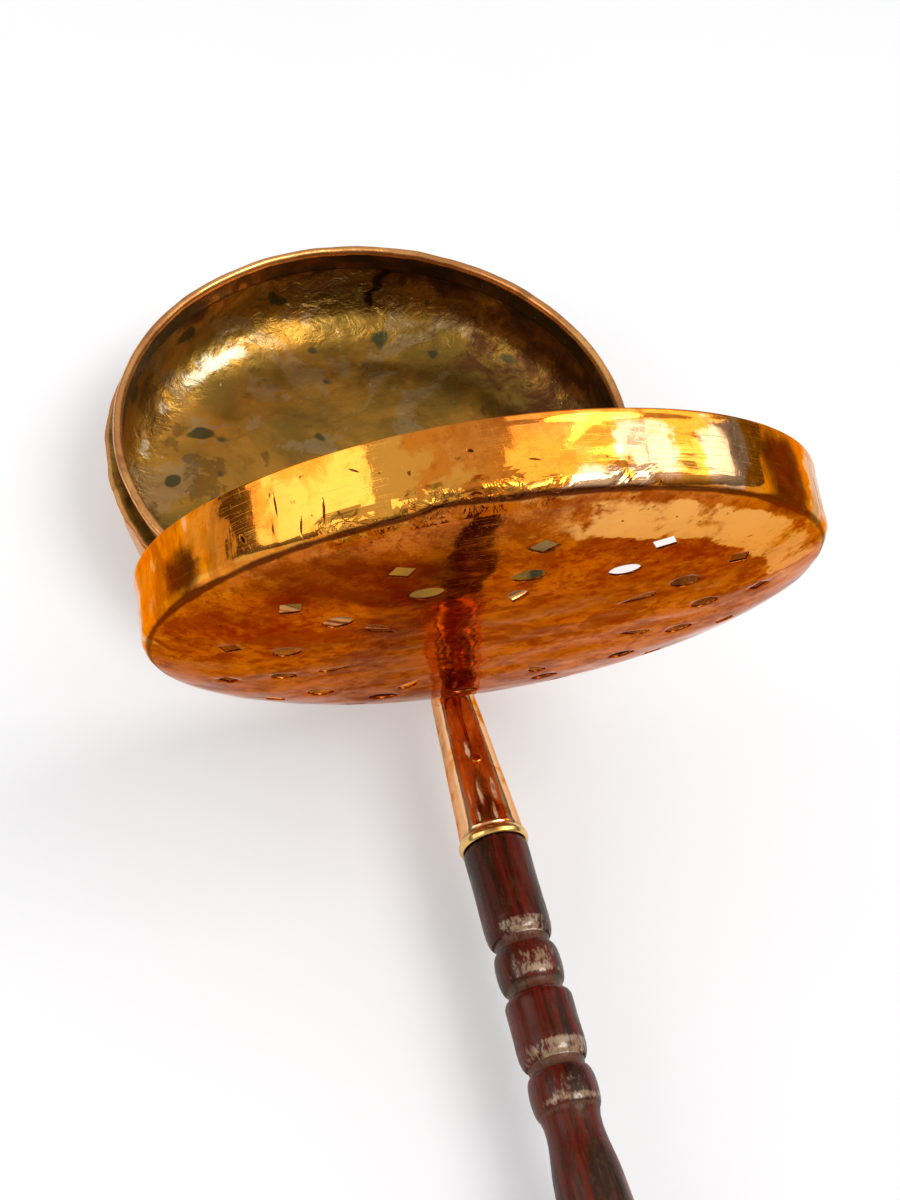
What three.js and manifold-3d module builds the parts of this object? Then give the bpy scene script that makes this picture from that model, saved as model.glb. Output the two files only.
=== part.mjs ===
// Copper bed warming pan: a round bowl, a pierced lid standing open on its hinge, and a long turned handle.
// Millimetres, +Z up. The origin is under the centre of the flat base, and the handle runs along -Y.

import * as THREE from 'three';
import { mergeVertices } from 'three/addons/utils/BufferGeometryUtils.js';
import Module from 'manifold-3d';

const wasm = await Module();
wasm.setup();

// ---- driving dimensions ----

const gap = 0.3; // clearance between pieces that rest on each other
const rowSteps = 56; // flats round the bowl and the lid
const rodSteps = 20; // flats round the handle
const smallSteps = 12; // flats round rivets and pins
const drillReach = 9; // how far a drilled hole starts and ends from the wall it goes through

const lidRadius = 150;
const lidSheet = 1.1;
const skirtHeight = 32.4; // from the rim to the crease
const creaseRadius = 7.6;
const domeRise = 13.6; // from the crease to the middle
const domeFlatness = 5.3; // exponent of the dome's curve, higher is flatter in the middle
const openAngle = 110.6 * (Math.PI / 180);

const spokes = 14; // every second one has a teardrop
const firstSpoke = 91.4 * (Math.PI / 180);
const diamondRow = 117.4;
const diamondWidth = 13;
const diamondHeight = 10.5;
const ovalRow = 92.7;
const ovalWidth = 14;
const ovalHeight = 11.6;
const teardropRow = 69;
const teardropWidth = 8.6;
const teardropHeight = 16.5;

const bowlSheet = 1.2;
const baseRadius = 106; // flat part of the base
const curveHeight = 27; // height in which the base turns up into the wall
const wallInset = 1.5; // wall's outside from the lid's outside
const ledgeHeight = 52; // the lid's rim rests here
const ledgeOverhang = 3.2; // beyond the lid's outside
const neckHeight = 11.7; // from the ledge to the lip's wire
const lipWireRadius = 1.4;
const lipSheet = 1; // of the neck ring
const lipClearance = 0.9; // between the lip and the lid's inside

const pinRadius = 1.5;
const pinHeadRadius = 2.4;
const pinHeadLength = 1.2;
const strapSheet = 1.3;
const strapHalfWidth = 20;
const earClearance = 1; // between the strap and the plate's ears
const strapLength = 18.3; // from the pin's axis to the strap's end
const strapCorner = 5;
const strapRivetSpread = 14; // each side of the middle
const strapRivetRise = 14.3; // from the pin's axis
const hingeRise = 3.3; // pin's axis above the lid's rim
const hingeTurn = -2.07 * (Math.PI / 180); // the hinge sits this far round from the handle
const plateSheet = 1.6;
const plateDrop = 22; // height of the plate below the ledge
const plateCorner = 4;
const earWidth = 10;
const rivetRadius = 1.8;
const rivetHeadRadius = 3.3;
const rivetHeadHeight = 1.7;
const plateRivetInset = 5; // from the plate's side edge
const plateRivetSpacing = 11;

const handleOffset = 4.3; // where the handle's axis meets the wall, to +X of the pan's centre
const handleTurn = -0.6 * (Math.PI / 180); // the handle leans this far towards -X
const handleDrop = 13.4; // from the ledge down to the handle's axis
const tangRadius = 4;
const tangHeadRadius = 6.5;
const tangHeadHeight = 2.5;
const roveRadius = 10;
const roveThickness = 1.5;
const ferruleSheet = 1.2;
const ferruleLength = 113;
const ferruleRootRadius = 10.1;
const ferruleEndRadius = 16.4;
const collarLength = 5.2;
const collarProud = 1.3; // beyond the wood beside it
const spigotLength = 60; // wood inside the ferrule
const tangDepth = 45; // tang inside the wood
const tangPoint = 8; // its tapered end
const nailSetback = 38.7; // from the ferrule's wide end
const nailRadius = 1.2;
const nailHeadRadius = 2.6;
const nailHeadHeight = 1.1;
const nailLength = 9;
const nailPoint = 3;

const woodRadius = 16.4; // of the two plain drums nearest the pan
const grooveRadius = 13.7;
const drumBow = 0.25; // how far a drum's sides curve in
const chamferLength = 8;
const beadRadius = 16;
const beadLength = 19;
const firstDrumLength = 44;
const secondDrumLength = 24.5;
const grooveLength = 4.5;
const shoulderLength = 1.5; // slope from a groove up to a drum
const neckRadius = 13.2;
const swellRadius = 18.2;
const tailRadius = 13.8;
const shaftLength = 362;
const gripRadius = 16.6;
const gripLength = 54;
const knobRadius = 19;
const knobLength = 44;

// ---- sizes that follow from them ----

const rimHeight = ledgeHeight + gap;
const ledgeThickness = bowlSheet + gap + lipSheet; // the bowl's flange and the neck ring's
const wallRadius = lidRadius - wallInset;
const ledgeRadius = lidRadius + ledgeOverhang;
const curlInner = lipWireRadius + gap;
const curlOuter = curlInner + lipSheet;
const curlRadius = lidRadius - lidSheet - lipClearance - curlOuter; // circle on which the lip's wire lies
const curlHeight = ledgeHeight + neckHeight;
const knuckleRadius = pinRadius + gap + strapSheet;
const hingeRadius = lidRadius + gap + knuckleRadius; // pin's axis from the pan's centre
const hingeHeight = rimHeight + hingeRise;
// Nearest point of the wall's inside.
const bowlInside = (wallRadius - bowlSheet) * Math.cos(Math.PI / rowSteps);
const plateInner = wallRadius + gap;
const plateOuter = plateInner + plateSheet;
const plateTop = ledgeHeight - ledgeThickness - gap;
const earInner = strapHalfWidth + earClearance;
const plateHalfWidth = earInner + earWidth;
const handleX = handleOffset - wallRadius * Math.sin(handleTurn);
const ferruleStart = plateOuter + gap;
const ferruleEnd = ferruleStart + ferruleLength;
const nailStation = ferruleEnd - nailSetback;
const handleAxisHeight = ledgeHeight - handleDrop;
const woodStart = ferruleEnd + gap + collarLength + gap;

// ---- helpers ----

const points = (list) => list.map(([x, y]) => new THREE.Vector2(x, y));

// A closed arc as a list of points, angles in degrees.
function arc(centreX, centreY, radiusX, radiusY, from, to, steps) {
  const list = [];
  for (let i = 0; i <= steps; i++) {
    const a = THREE.MathUtils.degToRad(from + ((to - from) * i) / steps);
    list.push([centreX + radiusX * Math.cos(a), centreY + radiusY * Math.sin(a)]);
  }
  return list;
}

// A profile of [radius, height] turned about +Z.
const turned = (profile, steps) => new THREE.LatheGeometry(points(profile), steps).rotateX(Math.PI / 2);

// A profile of [radius, station] turned about -Y, where a station is the distance from the pan's centre.
const outward = (profile, steps) => new THREE.LatheGeometry(points(profile), steps).rotateX(Math.PI);

// A flat outline in X and Z, as thick as from one Y to another.
function slab(shape, fromY, toY, curveSegments = 6) {
  const depth = toY - fromY;
  const geometry = new THREE.ExtrudeGeometry(shape, { depth, bevelEnabled: false, curveSegments });
  return geometry.rotateX(Math.PI / 2).translate(0, toY, 0);
}

function roundedRectangle(halfWidth, low, high, lowCorner, highCorner) {
  const shape = new THREE.Shape();
  shape.moveTo(-halfWidth + lowCorner, low);
  shape.lineTo(halfWidth - lowCorner, low);
  if (lowCorner > 0) shape.absarc(halfWidth - lowCorner, low + lowCorner, lowCorner, -Math.PI / 2, 0);
  shape.lineTo(halfWidth, high - highCorner);
  if (highCorner > 0) shape.absarc(halfWidth - highCorner, high - highCorner, highCorner, 0, Math.PI / 2);
  shape.lineTo(-halfWidth + highCorner, high);
  if (highCorner > 0) shape.absarc(-halfWidth + highCorner, high - highCorner, highCorner, Math.PI / 2, Math.PI);
  shape.lineTo(-halfWidth, low + lowCorner);
  if (lowCorner > 0) shape.absarc(-halfWidth + lowCorner, low + lowCorner, lowCorner, Math.PI, 1.5 * Math.PI);
  return shape;
}

function solid(geometry) {
  geometry.deleteAttribute('normal');
  geometry.deleteAttribute('uv');
  const merged = mergeVertices(geometry, 1e-4);
  const index = merged.index.array;
  const triangles = [];
  for (let i = 0; i < index.length; i += 3) {
    const [a, b, c] = [index[i], index[i + 1], index[i + 2]];
    if (a !== b && b !== c && c !== a) triangles.push(a, b, c);
  }
  const vertProperties = new Float32Array(merged.attributes.position.array);
  return new wasm.Manifold(new wasm.Mesh({ numProp: 3, vertProperties, triVerts: new Uint32Array(triangles) }));
}

function geometryOf(body) {
  const mesh = body.getMesh();
  const geometry = new THREE.BufferGeometry();
  geometry.setAttribute('position', new THREE.BufferAttribute(mesh.vertProperties, 3));
  geometry.setIndex(new THREE.BufferAttribute(mesh.triVerts, 1));
  geometry.computeVertexNormals();
  return geometry;
}

// A round hole tool along -Y, from one station to another.
function drill(radius, from, to, steps = smallSteps) {
  return outward([[0, from], [radius, from], [radius, to], [0, to]], steps);
}

const metal = (color, roughness) => new THREE.MeshStandardMaterial({ color, roughness, metalness: 1 });
const polishedCopper = metal(0xc9742f, 0.22);
const oldCopper = metal(0x5c4424, 0.5);
const brass = metal(0xc79a45, 0.25);
const iron = metal(0x3b3836, 0.6);
const wood = new THREE.MeshStandardMaterial({ color: 0x3a1712, roughness: 0.3, metalness: 0 });

const pan = new THREE.Group();
const hinge = new THREE.Group(); // turned round the pan's axis
const lid = new THREE.Group(); // its origin is on the pin's axis, and it is drawn closed
const handle = new THREE.Group();
pan.add(hinge, handle);
hinge.add(lid);
hinge.rotation.z = hingeTurn;
lid.position.set(0, -hingeRadius, hingeHeight);
lid.rotation.x = openAngle;
handle.position.set(handleX, 0, handleAxisHeight);
handle.rotation.z = handleTurn;

function piece(parent, name, geometry, material) {
  const mesh = new THREE.Mesh(geometry, material);
  mesh.name = name;
  parent.add(mesh);
  return mesh;
}

// ---- bowl: flat base, curved up into an upright wall that ends in a flange ----

function bowlProfile() {
  const wallInner = wallRadius - bowlSheet;
  const flangeUnder = ledgeHeight - ledgeThickness;
  return [
    [0, 0],
    ...arc(baseRadius, curveHeight, wallRadius - baseRadius, curveHeight, -90, 0, 7),
    [wallRadius, flangeUnder],
    [ledgeRadius, flangeUnder],
    [ledgeRadius, flangeUnder + bowlSheet],
    [wallInner, flangeUnder + bowlSheet],
    ...arc(baseRadius, curveHeight, wallInner - baseRadius, curveHeight - bowlSheet, 0, -90, 7),
    [0, bowlSheet],
  ];
}

// ---- neck ring: a flange for the lid to rest on, a neck and a lip rolled over a wire ----

function neckProfile() {
  const curlFrom = 180;
  const curlTo = -105;
  const under = ledgeHeight - lipSheet;
  return [
    [curlRadius - curlOuter, under],
    [ledgeRadius - lipSheet / 2, under],
    [ledgeRadius - lipSheet / 2, ledgeHeight],
    [curlRadius - curlInner, ledgeHeight],
    ...arc(curlRadius, curlHeight, curlInner, curlInner, curlFrom, curlTo, 7),
    ...arc(curlRadius, curlHeight, curlOuter, curlOuter, curlTo, curlFrom, 8),
    [curlRadius - curlOuter, under],
  ];
}

const plateRivets = [];
for (const side of [-1, 1]) {
  for (const level of [0, 1]) {
    const across = side * (plateHalfWidth - plateRivetInset);
    const height = plateTop - plateDrop / 2 + (level - 0.5) * plateRivetSpacing;
    plateRivets.push({ turn: Math.asin(across / wallRadius), height });
  }
}

let bowl = solid(turned(bowlProfile(), rowSteps));
for (const { turn, height } of plateRivets) {
  const hole = drill(rivetRadius + gap, wallRadius - drillReach, wallRadius + drillReach);
  bowl = bowl.subtract(solid(hole.rotateZ(hingeTurn + turn).translate(0, 0, height)));
}
function tangHole() {
  const hole = drill(tangRadius + gap, wallRadius - drillReach, wallRadius + drillReach);
  return hole.rotateZ(handleTurn).translate(handleX, 0, handleAxisHeight);
}
bowl = bowl.subtract(solid(tangHole()));
piece(pan, 'pan_bowl', geometryOf(bowl), oldCopper);
piece(pan, 'neck_ring', turned(neckProfile(), rowSteps), oldCopper);

const lipWire = new THREE.TorusGeometry(curlRadius, lipWireRadius, 6, rowSteps);
piece(pan, 'lip_wire', lipWire, iron).position.z = curlHeight;

// ---- hinge plate: curved to the wall, with two ears that reach out under the ledge and up to the pin ----

function earProfile() {
  const tip = hingeRadius + knuckleRadius;
  const shape = new THREE.Shape();
  shape.moveTo(plateInner - plateCorner * 2, plateTop);
  shape.lineTo(plateInner - plateCorner * 2, plateTop - plateSheet);
  shape.lineTo(tip, plateTop - plateSheet);
  shape.lineTo(tip, hingeHeight);
  shape.absarc(hingeRadius, hingeHeight, knuckleRadius, 0, 1.5 * Math.PI);
  shape.lineTo(tip - plateSheet, hingeHeight - knuckleRadius);
  shape.lineTo(tip - plateSheet, plateTop);
  return shape;
}

// An outline in station and height, extruded along X.
function ribbon(shape, fromX, toX) {
  const depth = toX - fromX;
  const geometry = new THREE.ExtrudeGeometry(shape, { depth, bevelEnabled: false, curveSegments: 10 });
  return geometry.rotateX(Math.PI / 2).rotateZ(-Math.PI / 2).translate(toX, 0, 0);
}

const plateOutline = roundedRectangle(plateHalfWidth, plateTop - plateDrop, plateTop, plateCorner, 0);
const plateRing = turned([
  [plateInner, 0],
  [plateOuter, 0],
  [plateOuter, plateTop],
  [plateInner, plateTop],
  [plateInner, 0],
], rowSteps * 2);
const pinBore = (radius, halfLength) => {
  const rod = new THREE.CylinderGeometry(radius, radius, halfLength * 2, smallSteps);
  return rod.rotateZ(Math.PI / 2).translate(0, -hingeRadius, hingeHeight);
};
let plate = solid(plateRing).intersect(solid(slab(plateOutline, -plateOuter - 5, -plateInner / 2)));
for (const side of [-1, 1]) {
  const from = side > 0 ? earInner : -plateHalfWidth;
  plate = plate.add(solid(ribbon(earProfile(), from, from + earWidth)));
}
const bowlSide = drill(plateInner, 0, ledgeHeight, rowSteps * 2).rotateX(-Math.PI / 2);
plate = plate.subtract(solid(bowlSide));
plate = plate.subtract(solid(pinBore(pinRadius + gap, plateHalfWidth + 5)));
for (const { turn, height } of plateRivets) {
  const hole = drill(rivetRadius + gap, wallRadius - drillReach, wallRadius + drillReach);
  plate = plate.subtract(solid(hole.rotateZ(turn).translate(0, 0, height)));
}
plate = plate.subtract(solid(tangHole().rotateZ(-hingeTurn)));
piece(hinge, 'hinge_plate', geometryOf(plate), oldCopper);

function rivetProfile(headFace, tailFace) {
  const tail = rivetHeadRadius * 0.85;
  return [
    [0, tailFace - rivetHeadHeight * 0.7],
    [tail * 0.7, tailFace - rivetHeadHeight * 0.6],
    [tail, tailFace],
    [rivetRadius, tailFace],
    [rivetRadius, headFace],
    [rivetHeadRadius, headFace],
    [rivetHeadRadius * 0.75, headFace + rivetHeadHeight * 0.7],
    [0, headFace + rivetHeadHeight],
  ];
}

plateRivets.forEach(({ turn, height }, i) => {
  const profile = rivetProfile(plateOuter + gap, bowlInside - gap);
  const rivet = piece(hinge, `plate_rivet_${i + 1}`, outward(profile, smallSteps), oldCopper);
  rivet.rotation.z = turn;
  rivet.position.z = height;
});

const pinHalf = plateHalfWidth + gap;
const pinProfile = [
  [0, -pinHalf - pinHeadLength],
  [pinHeadRadius, -pinHalf - pinHeadLength],
  [pinHeadRadius, -pinHalf],
  [pinRadius, -pinHalf],
  [pinRadius, pinHalf],
  [pinHeadRadius, pinHalf],
  [pinHeadRadius, pinHalf + pinHeadLength],
  [0, pinHalf + pinHeadLength],
];
const pin = piece(hinge, 'hinge_pin', outward(pinProfile, smallSteps).rotateZ(Math.PI / 2), iron);
pin.position.set(0, -hingeRadius, hingeHeight);

// ---- lid: skirt, crease and dome of one sheet, pierced by hand ----

const lidTop = (radius, edge, edgeHeight) => edgeHeight + domeRise * (1 - (radius / edge) ** domeFlatness);

// The lid's profile, with the rim at height 0.
function lidProfile() {
  const slope = Math.atan((domeRise * domeFlatness) / (lidRadius - creaseRadius));
  const turn = 90 - THREE.MathUtils.radToDeg(slope);
  const centre = [lidRadius - creaseRadius, skirtHeight - creaseRadius];
  const outer = arc(...centre, creaseRadius, creaseRadius, 0, turn, 4);
  const inner = arc(...centre, creaseRadius - lidSheet, creaseRadius - lidSheet, turn, 0, 3);
  const [edge, edgeHeight] = outer[outer.length - 1];
  const [innerEdge, innerEdgeHeight] = inner[0];
  const steps = [0.93, 0.85, 0.74, 0.6, 0.4, 0];
  return [
    [lidRadius, 0],
    ...outer,
    ...steps.map((x) => [edge * x, lidTop(edge * x, edge, edgeHeight)]),
    ...steps.toReversed().map((x) => [innerEdge * x, lidTop(innerEdge * x, innerEdge, innerEdgeHeight)]),
    ...inner,
    [lidRadius - lidSheet, 0],
    [lidRadius, 0],
  ];
}

function diamond() {
  const shape = new THREE.Shape();
  shape.moveTo(0, -diamondHeight / 2);
  shape.lineTo(diamondWidth / 2, 0);
  shape.lineTo(0, diamondHeight / 2);
  shape.lineTo(-diamondWidth / 2, 0);
  return shape;
}

function oval() {
  const shape = new THREE.Shape();
  shape.absellipse(0, 0, ovalWidth / 2, ovalHeight / 2, 0, 2 * Math.PI);
  return shape;
}

// Round end outwards, point towards the lid's centre.
function teardrop() {
  const radius = teardropWidth / 2;
  const shape = new THREE.Shape();
  shape.moveTo(0, -teardropHeight / 2);
  shape.absarc(0, teardropHeight / 2 - radius, radius, -0.1 * Math.PI, 1.1 * Math.PI);
  return shape;
}

let cover = solid(turned(lidProfile(), rowSteps));
for (let i = 0; i < spokes; i++) {
  const cuts = [[diamond(), diamondRow], [oval(), ovalRow]];
  if (i % 2 === 0) cuts.push([teardrop(), teardropRow]);
  for (const [shape, row] of cuts) {
    const depth = domeRise + creaseRadius * 2;
    const cut = new THREE.ExtrudeGeometry(shape, { depth, bevelEnabled: false, curveSegments: 5 });
    const angle = firstSpoke - (i * 2 * Math.PI) / spokes;
    cut.translate(0, row, skirtHeight - creaseRadius).rotateZ(angle - Math.PI / 2);
    cover = cover.subtract(solid(cut));
  }
}
const toLid = (geometry) => geometry.translate(0, hingeRadius, -hingeRise);
for (const side of [-1, 1]) {
  const hole = drill(rivetRadius + gap, lidRadius - drillReach, lidRadius + drillReach);
  cover = cover.subtract(solid(hole.translate(side * strapRivetSpread, 0, hingeRise + strapRivetRise)));
}
piece(lid, 'lid_cover', toLid(geometryOf(cover)), polishedCopper);

// ---- hinge strap: rolled round the pin and riveted flat against the skirt ----

const strapInner = knuckleRadius; // strap's skirt side, from the pin's axis towards the pan
const strapOutline = roundedRectangle(strapHalfWidth, 0, strapLength, 0, strapCorner);
const barrel = new THREE.CylinderGeometry(knuckleRadius, knuckleRadius, strapHalfWidth * 2, 16).rotateZ(Math.PI / 2);
const strapBore = new THREE.CylinderGeometry(pinRadius + gap, pinRadius + gap, strapHalfWidth * 3, smallSteps);
let strap = solid(slab(strapOutline, strapInner - strapSheet, strapInner)).add(solid(barrel));
strap = strap.subtract(solid(strapBore.rotateZ(Math.PI / 2)));
for (const side of [-1, 1]) {
  const hole = drill(rivetRadius + gap, -strapLength, strapLength);
  strap = strap.subtract(solid(hole.translate(side * strapRivetSpread, 0, strapRivetRise)));
}
piece(lid, 'hinge_strap', geometryOf(strap), oldCopper);

[-1, 1].forEach((side, i) => {
  const skirtInside = Math.sqrt((lidRadius - lidSheet) ** 2 - (strapRivetSpread + rivetHeadRadius) ** 2);
  const profile = rivetProfile(hingeRadius - strapInner + strapSheet + gap, skirtInside - gap);
  const rivet = piece(lid, `strap_rivet_${i + 1}`, outward(profile, smallSteps), oldCopper);
  rivet.position.set(side * strapRivetSpread, hingeRadius, strapRivetRise);
});

// ---- tang, rove, ferrule, collar and nail ----

const roveFace = Math.sqrt(bowlInside ** 2 - (roveRadius + handleOffset) ** 2) - gap;
const tangEnd = ferruleEnd - spigotLength + tangDepth;
const tangProfile = [
  [0, roveFace - roveThickness - gap - tangHeadHeight],
  [tangHeadRadius * 0.7, roveFace - roveThickness - gap - tangHeadHeight * 0.8],
  [tangHeadRadius, roveFace - roveThickness - gap],
  [tangRadius, roveFace - roveThickness - gap],
  [tangRadius, tangEnd - tangPoint],
  [tangRadius * 0.4, tangEnd],
  [0, tangEnd],
];
piece(handle, 'handle_tang', outward(tangProfile, smallSteps), iron);

const roveProfile = [
  [tangRadius + gap, roveFace - roveThickness],
  [roveRadius, roveFace - roveThickness],
  [roveRadius, roveFace],
  [tangRadius + gap, roveFace],
  [tangRadius + gap, roveFace - roveThickness],
];
piece(handle, 'tang_rove', outward(roveProfile, rodSteps), oldCopper);

const ferruleRadius = (station) => THREE.MathUtils.mapLinear(
  station, ferruleStart, ferruleEnd, ferruleRootRadius, ferruleEndRadius);
const ferruleProfile = [
  [ferruleRadius(ferruleStart) - ferruleSheet, ferruleStart],
  [ferruleRadius(ferruleStart), ferruleStart],
  [ferruleRadius(ferruleEnd), ferruleEnd],
  [ferruleRadius(ferruleEnd) - ferruleSheet, ferruleEnd],
  [ferruleRadius(ferruleStart) - ferruleSheet, ferruleStart],
];
const nailHole = () => {
  const hole = new THREE.CylinderGeometry(nailRadius + gap, nailRadius + gap, nailLength + nailPoint, smallSteps);
  const middle = ferruleRadius(nailStation) - (nailLength - nailPoint) / 2;
  return hole.rotateX(Math.PI / 2).translate(0, -nailStation, middle);
};
const ferrule = solid(outward(ferruleProfile, rodSteps)).subtract(solid(nailHole()));
piece(handle, 'ferrule_cone', geometryOf(ferrule), polishedCopper);

const spigotRadius = (station) => ferruleRadius(station) - ferruleSheet - gap;
const collarInner = spigotRadius(ferruleEnd) + gap;
const collarMiddle = ferruleEnd + gap + collarLength / 2;
const collarProfile = [
  [collarInner, collarMiddle - collarLength / 2],
  ...arc(woodRadius, collarMiddle, collarProud, collarLength / 2, -90, 90, 6),
  [collarInner, collarMiddle + collarLength / 2],
  [collarInner, collarMiddle - collarLength / 2],
];
piece(handle, 'ferrule_collar', outward(collarProfile, rodSteps), brass);

const nailProfile = [
  [0, -nailLength],
  [nailRadius, nailPoint - nailLength],
  [nailRadius, gap],
  [nailHeadRadius, gap],
  [nailHeadRadius * 0.7, gap + nailHeadHeight * 0.7],
  [0, gap + nailHeadHeight],
];
const nail = piece(handle, 'ferrule_nail', turned(nailProfile, smallSteps), polishedCopper);
nail.position.set(0, -nailStation, ferruleRadius(nailStation));

// ---- wooden handle: a spigot in the ferrule, drums and beads, a long swelling shaft, a grip and a knob ----

function woodProfile() {
  const spigotStart = ferruleEnd - spigotLength;
  const boreRadius = tangRadius + gap;
  const boreEnd = tangEnd + gap;
  let station = woodStart;
  const profile = [
    [0, boreEnd],
    [boreRadius, boreEnd],
    [boreRadius, spigotStart],
    [spigotRadius(spigotStart), spigotStart],
    [spigotRadius(ferruleEnd), ferruleEnd],
    [spigotRadius(ferruleEnd), station],
  ];
  const at = (radius, step) => {
    station += step;
    profile.push([radius, station]);
  };
  const drum = (radius, length) => {
    at(radius, 0);
    at(radius - drumBow, length / 2);
    at(radius, length / 2);
  };
  const chamferAndGroove = (radius) => {
    at(radius * 0.92, chamferLength * 0.55);
    at(grooveRadius, chamferLength * 0.45);
    at(grooveRadius, grooveLength);
  };
  const bead = (radius) => {
    const curve = arc(grooveRadius, station + beadLength / 2, radius - grooveRadius, beadLength / 2, -90, 90, 8);
    profile.push(...curve.slice(1));
    station += beadLength;
  };
  drum(woodRadius, firstDrumLength);
  chamferAndGroove(woodRadius);
  bead(beadRadius);
  at(grooveRadius, grooveLength);
  at(woodRadius, shoulderLength);
  drum(woodRadius, secondDrumLength);
  chamferAndGroove(woodRadius);
  bead(beadRadius);
  const shaft = new THREE.SplineCurve(points([
    [grooveRadius, station],
    [neckRadius, station + shaftLength * 0.015],
    [THREE.MathUtils.lerp(neckRadius, swellRadius, 0.5), station + shaftLength * 0.08],
    [swellRadius, station + shaftLength * 0.3],
    [THREE.MathUtils.lerp(tailRadius, swellRadius, 0.5), station + shaftLength * 0.68],
    [tailRadius, station + shaftLength],
  ]));
  for (const point of shaft.getPoints(18).slice(1)) profile.push([point.x, point.y]);
  station += shaftLength;
  at(grooveRadius, 1);
  bead(beadRadius);
  at(grooveRadius, grooveLength);
  at(gripRadius, shoulderLength);
  drum(gripRadius, gripLength);
  chamferAndGroove(gripRadius);
  bead(beadRadius);
  at(neckRadius * 0.8, grooveLength);
  const knobFoot = THREE.MathUtils.radToDeg(Math.acos(neckRadius / knobRadius));
  const knob = arc(0, station + knobLength / 2, knobRadius, knobLength / 2, -knobFoot, 90, 10);
  profile.push(...knob);
  profile[profile.length - 1][0] = 0;
  return profile;
}

const shaftBody = solid(outward(woodProfile(), rodSteps)).subtract(solid(nailHole()));
piece(handle, 'handle_wood', geometryOf(shaftBody), wood);

export default pan;
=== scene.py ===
import math

import bpy
import bmesh
import numpy as np
from mathutils import Matrix, Vector


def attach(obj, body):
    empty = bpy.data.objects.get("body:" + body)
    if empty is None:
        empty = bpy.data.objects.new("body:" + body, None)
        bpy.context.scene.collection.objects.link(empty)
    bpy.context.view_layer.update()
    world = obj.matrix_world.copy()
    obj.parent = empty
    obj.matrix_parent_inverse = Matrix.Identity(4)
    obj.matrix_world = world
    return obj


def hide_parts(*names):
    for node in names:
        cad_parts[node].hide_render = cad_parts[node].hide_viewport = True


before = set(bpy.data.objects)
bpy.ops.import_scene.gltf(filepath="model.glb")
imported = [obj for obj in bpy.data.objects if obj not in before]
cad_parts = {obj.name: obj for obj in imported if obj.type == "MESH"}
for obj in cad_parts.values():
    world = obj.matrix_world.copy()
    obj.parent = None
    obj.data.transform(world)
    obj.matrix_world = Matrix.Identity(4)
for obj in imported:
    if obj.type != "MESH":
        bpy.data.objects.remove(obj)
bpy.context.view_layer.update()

mm = 0.001
tau = 2 * math.pi

# Where the moving frames stand, in millimetres and degrees, as in the solid model.
setting = {
    "lidRadius": 150.0, "lidSheet": 1.1, "rimHeight": 52.3,
    "pinRise": 3.3, "pinOffset": 153.4, "openAngle": 110.6, "hingeTurn": -2.07,
    "handleHeight": 38.6, "handleX": 5.855, "handleTurn": -0.6,
}


def waveNoise(points, seed, size, octaves=3):
    # A sum of sine waves in random directions: each octave has half the length and half the strength.
    random = np.random.default_rng(seed)
    total = np.zeros(points.shape[:-1])
    for octave in range(octaves):
        for wave in range(8):
            direction = random.normal(size=3)
            direction *= tau / (size * 0.5 ** octave) * random.uniform(0.7, 1.4) / np.linalg.norm(direction)
            total += np.sin(points @ direction + random.uniform(0, tau)) * 0.5 ** octave
    return total / 4


def smoothStep(x):
    x = np.clip(x, 0, 1)
    return x * x * (3 - 2 * x)


def arcPoints(centre, radii, start, stop, count):
    # An ellipse's arc, from one angle to another in degrees.
    angle = np.radians(np.linspace(start, stop, count))
    return np.stack([centre[0] + radii[0] * np.cos(angle), centre[1] + radii[1] * np.sin(angle)], 1)


def linePoints(start, stop, count):
    # Even steps on a straight line, without its two ends.
    t = np.linspace(0, 1, count + 2)[1:-1, None]
    return (1 - t) * np.array(start) + t * np.array(stop)


def profileNormal(profile):
    # The profile's tangent turned a quarter to the right: it points out of the sheet.
    tangent = np.gradient(profile, axis=0)
    tangent /= np.linalg.norm(tangent, axis=1)[:, None] + 1e-9
    return np.stack([tangent[:, 1], -tangent[:, 0]], 1)


def turnAboutZ(points, degrees):
    c, s = math.cos(math.radians(degrees)), math.sin(math.radians(degrees))
    x, y, z = np.moveaxis(points, -1, 0)
    return np.stack([x * c - y * s, x * s + y * c, z], -1)


def openLid(points):
    # From the closed lid, with its rim at height 0, to the lid as it stands open on the pin.
    y = points[..., 1] + setting["pinOffset"]
    z = points[..., 2] - setting["pinRise"]
    c, s = math.cos(math.radians(setting["openAngle"])), math.sin(math.radians(setting["openAngle"]))
    turned = np.stack([points[..., 0], y * c - z * s - setting["pinOffset"],
                       y * s + z * c + setting["rimHeight"] + setting["pinRise"]], -1)
    return turnAboutZ(turned, setting["hingeTurn"])


def alongHandle(points):
    # From radius directions X and Z and stations along -Y to the handle's place on the pan.
    root = np.array([setting["handleX"], 0, setting["handleHeight"]])
    return turnAboutZ(points, setting["handleTurn"]) + root


def onHinge(points, place=(0, 0, 0), turn=0):
    # Onto the hinge's side of the wall: turned about the pan's axis, then moved.
    return turnAboutZ(turnAboutZ(points, turn) + np.array(place), setting["hingeTurn"])


def roundAngles(columns):
    # Even steps round a circle, from 0 on.
    return np.arange(columns) * tau / columns


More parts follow.
